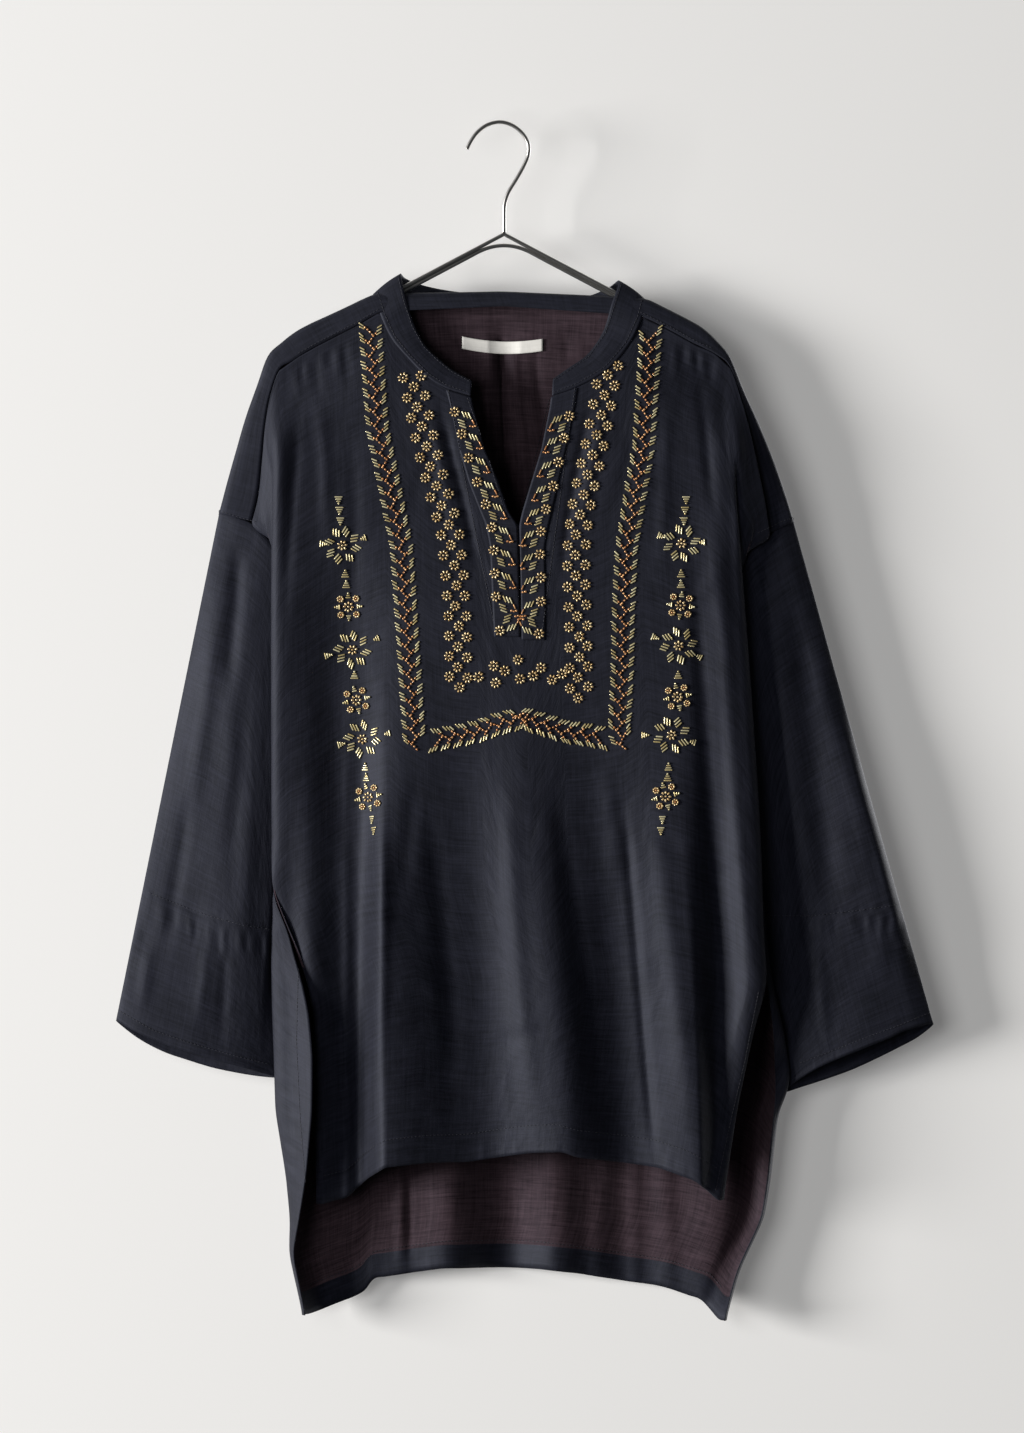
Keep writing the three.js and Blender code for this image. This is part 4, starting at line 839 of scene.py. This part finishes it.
def sleeve_relief(grid, name):
    rings, around = grid.shape[:2]
    grid = grid.copy()
    half = 2 * np.arange(around) / around
    front_side = (half <= 1)[None, :]
    t = np.linspace(0, 1, rings)[:, None]
    x, z = grid[..., 0], grid[..., 2]
    across = np.where(half <= 1, half, 2 - half)[None, :]
    level = SLEEVE_LEVEL[name] * SLEEVE_FULLNESS
    puff = np.sin(np.pi * np.minimum(1, across / 0.7)) * np.sin(np.pi * t)
    grid[..., 1] += np.where(front_side, level, 0) * puff
    for layer, mask, way in zip(SLEEVE_CREASES[name], (front_side, ~front_side), (-1, 1)):
        fade = ease(t / 0.08) * ease(np.minimum(across, 1 - across) / 0.1)
        grid[..., 1] += way * crease_height(layer, x, z) * mask * fade
    seam, sewn = SLEEVE_SEAMS[name]
    grid[..., 1] += np.where(front_side, 1, -1) * crease_height(seam, x, z)
    tuck_rows = np.exp(-((t - 0.978) / 0.007) ** 2)
    grid[..., 1] += np.where(front_side, 0.35, -0.35) * tuck_rows
    tuck = grid[:3].copy()
    for k, share in enumerate((1.0, 0.62, 0.25)):
        tuck[k] = grid[0]
        tuck[k, :, 2] += SEAM_TUCK * share
        tuck[k, :, 1] *= 1 - 0.13 * share
    return np.concatenate([tuck, grid], 0)


sleeves = []
for name, table, side in (("left", SLEEVE_LEFT, 1), ("right", SLEEVE_RIGHT, -1)):
    grid = sleeve_relief(sleeve_grid(table, 140, 160), name)
    facing = inside_is(int(DEEP_HEM * len(grid)))
    sleeves.append(cloth_piece("sleeve_cloth_" + name, shell_parts(grid, side, WALL, True, facing),
                               "linen", "sleeve_" + name))

# ---- collar -------------------------------------------------------------------------------
band = collar_grid(260, 14)
band += 0.45 * grid_normals(band, 1, False)
collar = cloth_piece("collar_cloth", shell_parts(band, 1, 1.4, False, inside_is(0)), "linen", "collar_band")


# ---- placket strips -----------------------------------------------------------------------
def placket_grid(outer, inner, top_outer, top_inner, bottom, rows, columns):
    share = np.linspace(0, 1, columns)[None, :]
    z = lerp(lerp(top_outer, top_inner, share), bottom, np.linspace(0, 1, rows)[:, None])
    x = lerp(outer(z), inner(z), share)
    y = front_depth(x, z) - crease_height(FRONT_CREASES, x, z) - 0.8
    return np.stack([x, y, z], 2)


strips = []
for name, outer, inner, tops, bottom, side in (
        ("left", outer_left, slit_left, (-251, -258), -483, 1),
        ("right", outer_right, slit_right, (-249.5, -258), -486, -1)):
    grid = placket_grid(outer, inner, *tops, bottom, 120, 14)
    strips.append(cloth_piece("placket_cloth_" + name, shell_parts(grid, side, 1.0, False, inside_is(0)),
                              "linen", "placket_" + name))

# ---- label --------------------------------------------------------------------------------
share = np.linspace(0, 1, 41)
x = -1.5 + 76 * (share - 0.5)
droop = 11.5 * 0.32 * (1 - (2 * share - 1) ** 2)
z = -206.5 + 11.5 * (0.5 - np.linspace(0, 1, 9)[:, None]) - droop[None] - 0.03 * x[None]
x = np.broadcast_to(x[None], z.shape)
grid = np.stack([x, back_face(x, z) - (WALL + 2.3), z], 2)
label = cloth_piece("label_cloth", shell_parts(grid, 1, 0.8, False, inside_is(0)), "label_tape",
                    "neck_label", (tape, tape))


# ---- hanger -------------------------------------------------------------------------------
def tube(name, path, radius, sides=20):
    """Round wire along a path, closed at its ends."""
    path = np.asarray(path, float)
    tangent = np.gradient(path, axis=0)
    tangent /= np.linalg.norm(tangent, axis=1, keepdims=True)
    depth = np.array([0.0, 1.0, 0.0])
    flat = np.cross(tangent, depth)
    flat /= np.linalg.norm(flat, axis=1, keepdims=True)
    angle = 2 * np.pi * np.arange(sides) / sides
    ring = (np.cos(angle)[None, :, None] * flat[:, None] + np.sin(angle)[None, :, None] * depth) * radius
    points = (path[:, None] + ring).reshape(-1, 3)
    n = len(path)
    r, c = np.meshgrid(np.arange(n - 1), np.arange(sides), indexing="ij")
    nxt = (c + 1) % sides
    faces = np.stack([r * sides + c, r * sides + nxt, (r + 1) * sides + nxt, (r + 1) * sides + c],
                     2).reshape(-1, 4)
    mesh_points = np.concatenate([points, path[:1], path[-1:]])
    thing = add_mesh(name, mesh_points, faces, materials=(steel,))
    work = bmesh.new()
    work.from_mesh(thing.data)
    work.verts.ensure_lookup_table()
    start, end, last = n * sides, n * sides + 1, (n - 1) * sides
    for k in range(sides):
        nk = (k + 1) % sides
        for corners in ((start, nk, k), (end, last + k, last + nk)):
            work.faces.new([work.verts[i] for i in corners])
    bmesh.ops.recalc_face_normals(work, faces=work.faces)
    work.to_mesh(thing.data)
    work.free()
    return thing


WIRE = 3.8
APEX, ARM_SLOPE, ARM_REACH = -104, 0.527, 190
HOOK = [(-34.8, -24), (-31.4, -17), (-25.4, -8.5), (-16, -1.4), (-3.8, 1.4), (7.5, -1.6), (17, -9),
        (22.4, -18), (22.8, -29), (19, -39), (11.8, -52), (4, -65), (0.5, -76), (0, -88),
        (0, APEX + 1.2)]
hook = tube("hook_wire", through([(x, 0, z) for x, z in HOOK], 160), WIRE / 2)
finish_piece(hook, "wire", "hanger_hook")

arm = np.linspace(-ARM_REACH, ARM_REACH, 241)
upper = tube("arm_wire_upper", np.stack([arm, 0 * arm, APEX - np.abs(arm) * ARM_SLOPE], 1), WIRE / 2)
finish_piece(upper, "wire", "hanger_upper_wire")
crest = -114.4 + (APEX - 30 * ARM_SLOPE - 3.9 + 114.4) * (arm / 30) ** 2
level = np.where(np.abs(arm) < 30, crest, APEX - np.abs(arm) * ARM_SLOPE - 3.9)
kernel = np.exp(-0.5 * (np.arange(-6, 7) / 2.4) ** 2)
soft = np.convolve(level, kernel / kernel.sum(), "same")
level[8:-8] = soft[8:-8]
lower = tube("arm_wire_lower", np.stack([arm, 0 * arm + 1.6, level], 1), WIRE / 2)
finish_piece(lower, "wire", "hanger_lower_wire")

# ---- beads --------------------------------------------------------------------------------
# Motifs are set out in the pixels that the sizes were measured in, with +y down.
SEED, BUGLE, STITCH = "seed", "bugle", "stitch"
beads = {"pale": [], "gold": [], "copper": []}


def bead(tone, kind, x, y, angle=0.0, length=2.0):
    """One bead; angle is in degrees from the right towards down."""
    beads[tone].append((kind, x, y, angle, length))


def rosette(x, y, radius=3.9, count=8, tone="gold", turn=0.0):
    """Ring of round beads about one in the middle."""
    for k in range(count):
        angle = turn + 360 * k / count + random.uniform(-5, 5)
        way = math.radians(angle)
        reach = radius * random.uniform(0.94, 1.06)
        bead(tone, SEED, x + reach * math.cos(way), y + reach * math.sin(way), angle, 2.9)
    bead(tone, SEED, x, y, turn, 2.2)


def seeds_along(tone, start, end, pitch=2.55):
    dx, dy = end[0] - start[0], end[1] - start[1]
    length = math.hypot(dx, dy)
    count = max(2, int(length / pitch + 0.5))
    for k in range(count):
        t = k / (count - 1)
        bead(tone, SEED, start[0] + dx * t + random.uniform(-0.25, 0.25),
             start[1] + dy * t + random.uniform(-0.25, 0.25), math.degrees(math.atan2(dy, dx)), 2.3)


def walk(path, pitch, start=0.0):
    """Places every pitch along a path, each with the direction there."""
    path = [Vector(p) for p in path]
    lengths = [(b - a).length for a, b in zip(path, path[1:])]
    total, out, s = sum(lengths), [], start
    while s < total:
        run, k = s, 0
        while run > lengths[k]:
            run -= lengths[k]
            k += 1
        way = (path[k + 1] - path[k]).normalized()
        out.append((path[k] + way * run, way))
        s += pitch
    return out


def wheat(path, pitch=14.0, first=0.0):
    """Leaves of three bugles on both sides of a beaded stem, growing along the path."""
    for side, shift in ((-1, 0.0), (1, 0.5)):
        for centre, way in walk(path, pitch, first + pitch * shift):
            out = Vector((-way.y, way.x)) * side
            lean = math.radians(random.uniform(28, 42))
            leaf = out * math.cos(lean) + way * math.sin(lean)
            angle = math.degrees(math.atan2(leaf.y, leaf.x))
            for k in (-1, 0, 1):
                place = centre + out * (8.9 + 0.55 * k) + way * (3.4 * k)
                bead("pale", BUGLE, place.x, place.y, angle + random.uniform(-5, 5), 5.9)
            a = centre + out * 5.2 - way * 3.0
            b = centre - out * 1.6 - way * 11.2
            seeds_along("copper", a, b)


def triangle(x, y, toward, tone="pale", rows=(7.8, 5.9, 3.9, 1.9)):
    """Bars that shorten towards the tip; toward is the tip's direction in degrees."""
    way = math.radians(toward)
    for k, length in enumerate(rows):
        step = 2.15 * (k - (len(rows) - 1) / 2)
        bead(tone, BUGLE if length > 2.5 else SEED, x + step * math.cos(way), y + step * math.sin(way),
             toward + 90, max(length, 2.0))


def star(x, y, turn, *tips):
    """Eight petals of three bugles round a rosette, and a triangle at each of the tips."""
    rosette(x, y, 3.7, 7, "gold", turn)
    for k in range(8):
        angle = turn + 22.5 + 45 * k + random.uniform(-4, 4)
        way = math.radians(angle)
        along, across = Vector((math.cos(way), math.sin(way))), Vector((-math.sin(way), math.cos(way)))
        lean = angle + random.uniform(8, 26)
        for j in (-1, 0, 1):
            place = Vector((x, y)) + along * (14.0 + 1.9 * j) - across * (2.2 * j)
            bead("pale", BUGLE, place.x, place.y, lean, 8.0 - 0.9 * abs(j))
    for (dx, dy), rows in zip(tips, ((6.8, 5.0, 3.4, 1.9), (6.4, 4.4, 2.6))):
        triangle(x + dx, y + dy, math.degrees(math.atan2(-dy, -dx)), rows=rows)


def posy(x, y, turn=0.0):
    """Rosette with four small rings round it, and a small triangle between each two."""
    rosette(x, y, 4.0, 8, "gold")
    for k in range(4):
        way = math.radians(turn + 45 + 90 * k)
        cx, cy = x + 11.2 * math.cos(way), y + 11.2 * math.sin(way)
        for j in range(7):
            a = 2 * math.pi * j / 7
            bead("gold", SEED, cx + 2.5 * math.cos(a), cy + 2.5 * math.sin(a), math.degrees(a) + 90, 2.1)
        bead("copper", SEED, cx, cy, 0, 1.8)
        angle = turn + 90 * k
        way = math.radians(angle)
        triangle(x + 11.3 * math.cos(way), y + 11.3 * math.sin(way), angle, rows=(5.0, 3.2, 1.9))


# Wheat borders: two sides up from the bottom corners, and the bottom out from its centre.
wheat([(415, 742), (409, 652), (404, 576), (402, 547), (390, 487), (378, 430), (372, 350),
       (370, 322)], 13.9, 4)
wheat([(622, 742), (619, 729), (622, 671), (623, 614), (626, 550), (635, 493), (643, 448), (647, 388),
       (651, 326)], 13.9, 4)
wheat([(521, 718), (498, 724), (476, 732), (455, 736), (430, 741)], 12.6, 4)
wheat([(521, 718), (545, 725), (566, 732), (588, 735), (608, 739)], 12.6, 4)

# Rosette columns: pairs with one between, down both sides, then across under the slit.
for path, side in (([(411, 370), (420, 415), (430, 460), (441, 500), (450, 530), (455, 576), (458, 620),
                     (459, 690)], -1),
                   ([(609, 366), (601, 412), (592, 458), (583, 495), (577, 536), (576, 577), (578, 619),
                     (579, 690)], 1)):
    for centre, way in walk(path, 20.3, 8.0 if side < 0 else 0.0):
        across = Vector((-way.y, way.x))
        for shift in (-9.0, 9.0):
            place = centre + across * shift + way * side * shift * 0.08
            rosette(place.x, place.y, turn=random.uniform(0, 45))
        place = centre + way * 10.2 + across * random.uniform(-1.5, 1.5)
        rosette(place.x, place.y, turn=random.uniform(0, 45))
for x, y in ((479, 677), (496, 683), (494, 666), (518, 660), (520, 679), (541, 668), (552, 680),
             (562, 674), (505, 671), (533, 676)):
    rosette(x, y, turn=random.uniform(0, 45))


def slit_unit(x, y, side, tall=1.0, lean=0.0):
    """Rosette, two leaves and a copper tip towards the slit; side is +1 left of the slit."""
    rosette(x, y, turn=random.uniform(0, 45))
    for k in (-1, 0, 1):
        bead("pale", BUGLE, x + side * (11.8 + 3.2 * k), y + tall * (3.2 + 0.8 * k),
             90 - side * tall * (24 + lean), 7.0)
        bead("pale", BUGLE, x + side * (7.2 + 0.8 * k), y + tall * (11.6 + 3.0 * k), side * tall * 20, 7.2)
    bead("copper", BUGLE, x + side * 18.4, y + tall * 10.0, 90 - side * tall * 24, 5.2)
    for dx, dy in ((15.6, 14.2), (18.2, 14.8), (20.4, 14.2)):
        bead("copper", SEED, x + side * dx, y + tall * dy, 0, 2.4)


for x, y in ((455, 413), (462, 435), (469, 459), (477.5, 483), (486, 505), (492, 528), (494, 551),
             (495, 574), (496, 597)):
    slit_unit(x, y, 1)
for x, y in ((569, 417), (564, 439), (558.5, 463), (553, 487), (546, 510), (541, 532), (540, 555),
             (541, 578), (541, 602)):
    slit_unit(x, y, -1)
slit_unit(500, 631, 1, -1)
slit_unit(539, 634, -1, -1)

# Side columns: x follows the fall of the cloth. (y, turn, tips) for the stars.
for line, stars, posies in (
        ([(339, 497), (343, 546), (349, 607), (353, 650), (357, 700), (363, 739), (369, 797), (375, 832)],
         [(546, -7, (-18.5, -1.5), (21, -7)), (650, -14, (-24, 5.5), (24, -11)),
          (739, -12, (-21, 5), (25, -5.5))],
         (607, 700, 797)),
        ([(686, 497), (681, 544), (680, 606), (678, 645), (677, 697), (671, 735), (665, 797), (660, 832)],
         [(544, 10, (-20, -7), (20.5, -1)), (646, 14, (-23, -8), (20.5, 11)), (735, 7, (-26, 0), (21, 7))],
         (606, 697, 796))):
    column_x = profile([(y, x) for x, y in line])
    for y in (501, 511.5, 522):
        triangle(float(column_x(y)), y, 90)
    for y, turn, *tips in stars:
        star(float(column_x(y)), y, turn, *tips)
    for y in (574, 584.5, 675, 766.5, 777):
        triangle(float(column_x(y)), y, -90)
    for y in posies:
        posy(float(column_x(y)), y, random.uniform(-14, 8))
    for y in (819.5, 830.5):
        triangle(float(column_x(y)), y, 90, rows=(7.0, 5.2, 3.4, 1.9))


# ---- sewing -------------------------------------------------------------------------------
def sewn(path, pitch=3.7, length=2.7):
    """Stitches along a path in measured pixels."""
    out = []
    for place, way in walk(path, pitch):
        angle = math.degrees(math.atan2(way.y, way.x)) + random.uniform(-3, 3)
        out.append((STITCH, place.x, place.y, angle, length))
    return out


def to_pixels(x, z, up=0.0):
    return x / PIXEL + ZERO_X, ZERO_Y - z / PIXEL - up


def along_hem(hem, start, end, up):
    return [to_pixels(x, float(hem(x)), up) for x in np.linspace(start, end, 40)]


def beside_collar(share, rows):
    return [to_pixels(lerp(row[1], row[3], share), lerp(row[2], row[5], share)) for row in rows]


CUFFS = [[(121, 1012), (153, 1030), (188, 1042), (233, 1055), (267, 1064)],
         [(929, 1013), (894, 1027), (866, 1037), (826, 1053), (798, 1064)]]
ARMHOLES = [[(220, 511), (236, 516.5), (258, 522.5)], [(792, 518), (783, 521), (756, 534)]]
seen_front = [
    along_hem(front_hem, -168, 200, 27.5), along_hem(back_hem, -182, 204, 27.5),
    [(299, 965), (297, 1040), (301, 1120), (308, 1200)],
    [(757, 992), (744, 1060), (730, 1120), (715, 1188)],
    [(448.5, 392), (471, 510), (494, 624)], [(498, 633.5), (517, 633.5)],
    [(574.5, 390), (557, 520), (541.5, 636)], [(468, 400), (486, 450), (504.5, 512)],
    [(549, 400), (537, 450), (521.5, 514)],
    beside_collar(0.12, COLLAR[:7]), beside_collar(0.9, COLLAR[:7]),
    beside_collar(0.12, COLLAR[14:]), beside_collar(0.9, COLLAR[14:]),
    [to_pixels(x, z, 3.2) for x, z in FORWARD_SEAM[1:5]],
    [to_pixels(x, z, 3.2) for x, z in FORWARD_SEAM[6:10]],
] + CUFFS + ARMHOLES + list(SEWN.values())
seen_behind = [along_hem(back_hem, -182, 204, 27.5), beside_collar(0.12, COLLAR[6:15]),
               beside_collar(0.9, COLLAR[6:15])] + CUFFS + ARMHOLES + list(SEWN.values())


def surface_tree(things):
    points, faces = [], []
    for thing in things:
        base = len(points)
        points += [vertex.co.copy() for vertex in thing.data.vertices]
        faces += [[base + k for k in face.vertices] for face in thing.data.polygons]
    return BVHTree.FromPolygons(points, faces)


beaded = surface_tree([front] + strips)


def land(tree, x_mm, z_mm, way):
    """Place and outward normal on the cloth, seen from the front (way 1) or from behind (-1)."""
    place = (np.array([x_mm, 0, z_mm]) + OFFSET) / 1000
    hit, normal, _, _ = tree.ray_cast(Vector((place[0], -0.2 * way, place[2])), Vector((0, way, 0)))
    if hit is None:
        return None
    if normal.y * way > 0:
        normal = -normal
    return np.array(hit) * 1000 - OFFSET, np.array(normal)


# Rings of a bead along its own length, from -0.5 to 0.5, and their share of its radius.
BEAD_FORMS = {
    SEED: [(-0.5, 0.42), (-0.40, 0.80), (-0.15, 1.0), (0.15, 1.0), (0.40, 0.80), (0.5, 0.42)],
    BUGLE: [(-0.5, 0.55), (-0.46, 0.92), (-0.40, 1.0), (0.40, 1.0), (0.46, 0.92), (0.5, 0.55)],
    STITCH: [(-0.5, 0.5), (-0.38, 1.0), (0.38, 1.0), (0.5, 0.5)]}
BEAD_SIDES = 8
BEAD_RADIUS = {SEED: 0.95, BUGLE: 0.70, STITCH: 0.30}


def bead_mesh(name, rows, tree, material, seen=1.0):
    """All beads or stitches of one look as one mesh, laid on the cloth."""
    angles = 2 * np.pi * np.arange(BEAD_SIDES) / BEAD_SIDES
    points, faces, tints, base = [], [], [], 0
    for kind, px, py, angle, length in rows:
        x, z = picked(px, py)
        found = land(tree, x, z, seen)
        if found is None:
            continue
        hit, normal = found
        radius = BEAD_RADIUS[kind] * random.uniform(0.93, 1.07)
        size = length * PIXEL * random.uniform(0.94, 1.05)
        way = math.radians(angle)
        along = np.array([math.cos(way), 0.0, -math.sin(way)])
        along -= normal * along.dot(normal)
        along /= np.linalg.norm(along)
        across = np.cross(normal, along)
        centre = hit + normal * (radius * (0.45 if kind == STITCH else 0.9))
        for share, wide in BEAD_FORMS[kind]:
            ring = (np.cos(angles)[:, None] * across + np.sin(angles)[:, None] * normal) * radius * wide
            points.append(centre + along * (size * share) + ring)
        rings = len(BEAD_FORMS[kind])
        for r in range(rings - 1):
            for k in range(BEAD_SIDES):
                nk = (k + 1) % BEAD_SIDES
                a = base + r * BEAD_SIDES
                faces.append((a + k, a + nk, a + BEAD_SIDES + nk, a + BEAD_SIDES + k))
        end = base + (rings - 1) * BEAD_SIDES
        for quad in ((0, 7, 6, 5), (0, 5, 4, 3), (0, 3, 2, 1)):
            faces.append(tuple(base + q for q in quad))
            faces.append(tuple(end + q for q in reversed(quad)))
        tint = random.random()
        tints += [(tint, random.random())] * (rings * BEAD_SIDES)
        base += rings * BEAD_SIDES
    return add_mesh(name, np.concatenate(points), np.array(faces), uv=np.array(tints),
                    materials=(material,))


def glass(name, dull, bright, rough=0.26, metallic=0.45):
    """Lined bead: each bead has its own shade between dull and bright."""
    look = Look(name)
    tints = look.add("SeparateXYZ", Vector=look.cloth_place())
    look.settle(Base_Color=look.shade(tints[0], dull, bright), Metallic=metallic,
                Roughness=look.spread(tints[1], rough * 0.7, rough * 1.5),
                Coat_Weight=0.5, Coat_Roughness=0.08)
    return look.material


BEAD_LOOKS = {
    "pale": ((0.66, 0.53, 0.24), (1.0, 0.92, 0.58), "gold_bead"),
    "gold": ((0.60, 0.40, 0.17), (1.0, 0.80, 0.46), "gold_bead"),
    "copper": ((0.55, 0.24, 0.09), (0.92, 0.52, 0.24), "copper_bead"),
}
for tone, (dull, bright, slot) in BEAD_LOOKS.items():
    thing = bead_mesh("beads_" + tone, beads[tone], beaded, glass("bead_" + tone, dull, bright))
    finish_piece(thing, slot)

cotton = Look("sewing_thread")
twist = cotton.streaks(cotton.add("TexCoord")["Object"], 900, 900, 2.0)
cotton.settle(Base_Color=cotton.shade(twist, (0.008, 0.008, 0.013), (0.040, 0.041, 0.055)), Roughness=0.6)
clothes = surface_tree([front, back, collar] + strips + sleeves)
for name, paths, seen in (("stitches_front", seen_front, 1.0), ("stitches_back", seen_behind, -1.0)):
    rows = [row for path in paths for row in sewn(path)]
    finish_piece(bead_mesh(name, rows, clothes, cotton.material, seen), "linen")

# ---- stage and light ------------------------------------------------------------------------
look = Look("backdrop")
look.settle(Base_Color=(0.80, 0.795, 0.785, 1), Roughness=0.9, Specular_IOR_Level=0.1,
            Emission_Color=(1.0, 0.985, 0.96, 1), Emission_Strength=0.14)
# The wall shows only its room side, so the piece can be looked at from behind as well.
pick = look.nodes.new("ShaderNodeMixShader")
look.plug(look.add("NewGeometry")["Backfacing"], pick.inputs["Fac"])
look.plug(look.shader.outputs["BSDF"], pick.inputs[1])
look.plug(look.add("BsdfTransparent")["BSDF"], pick.inputs[2])
look.plug(pick.outputs["Shader"], look.nodes["Material Output"].inputs["Surface"])
WALL_Y = 0.045
wall = bpy.data.meshes.new("backdrop")
wall.from_pydata([(-6, WALL_Y, -5), (6, WALL_Y, -5), (6, WALL_Y, 4), (-6, WALL_Y, 4)], [], [(0, 1, 2, 3)])
wall.materials.append(look.material)
backdrop = bpy.data.objects.new("backdrop", wall)
backdrop.visible_shadow = False  # the lamp behind shines past it
scene.collection.objects.link(backdrop)

world = bpy.data.worlds.new("room")
scene.world = world
world.use_nodes = True
world.node_tree.nodes["Background"].inputs[0].default_value = (0.93, 0.96, 1.0, 1)
world.node_tree.nodes["Background"].inputs[1].default_value = 0.04


def area_light(name, place, aim, size, power, colour=(1, 1, 1), glossy=True):
    data = bpy.data.lights.new(name, "AREA")
    data.shape = "RECTANGLE"
    data.size, data.size_y = size
    data.energy = power
    data.color = colour
    lamp = bpy.data.objects.new(name, data)
    lamp.location = place
    lamp.rotation_euler = (Vector(aim) - Vector(place)).to_track_quat("-Z", "Y").to_euler()
    lamp.visible_glossy = glossy
    scene.collection.objects.link(lamp)


area_light("window", (-8.2, -3.8, -0.35), (0.05, 0, -0.55), (3.0, 3.0), 1040, (1.0, 0.985, 0.965))
area_light("room_fill", (-2.2, -4.6, -0.4), (0, 0, -0.5), (2.6, 2.6), 80, glossy=False)
area_light("behind", (3.4, 3.2, 0.3), (0, 0, -0.55), (2, 2), 170)
scene.view_settings.view_transform = "Standard"
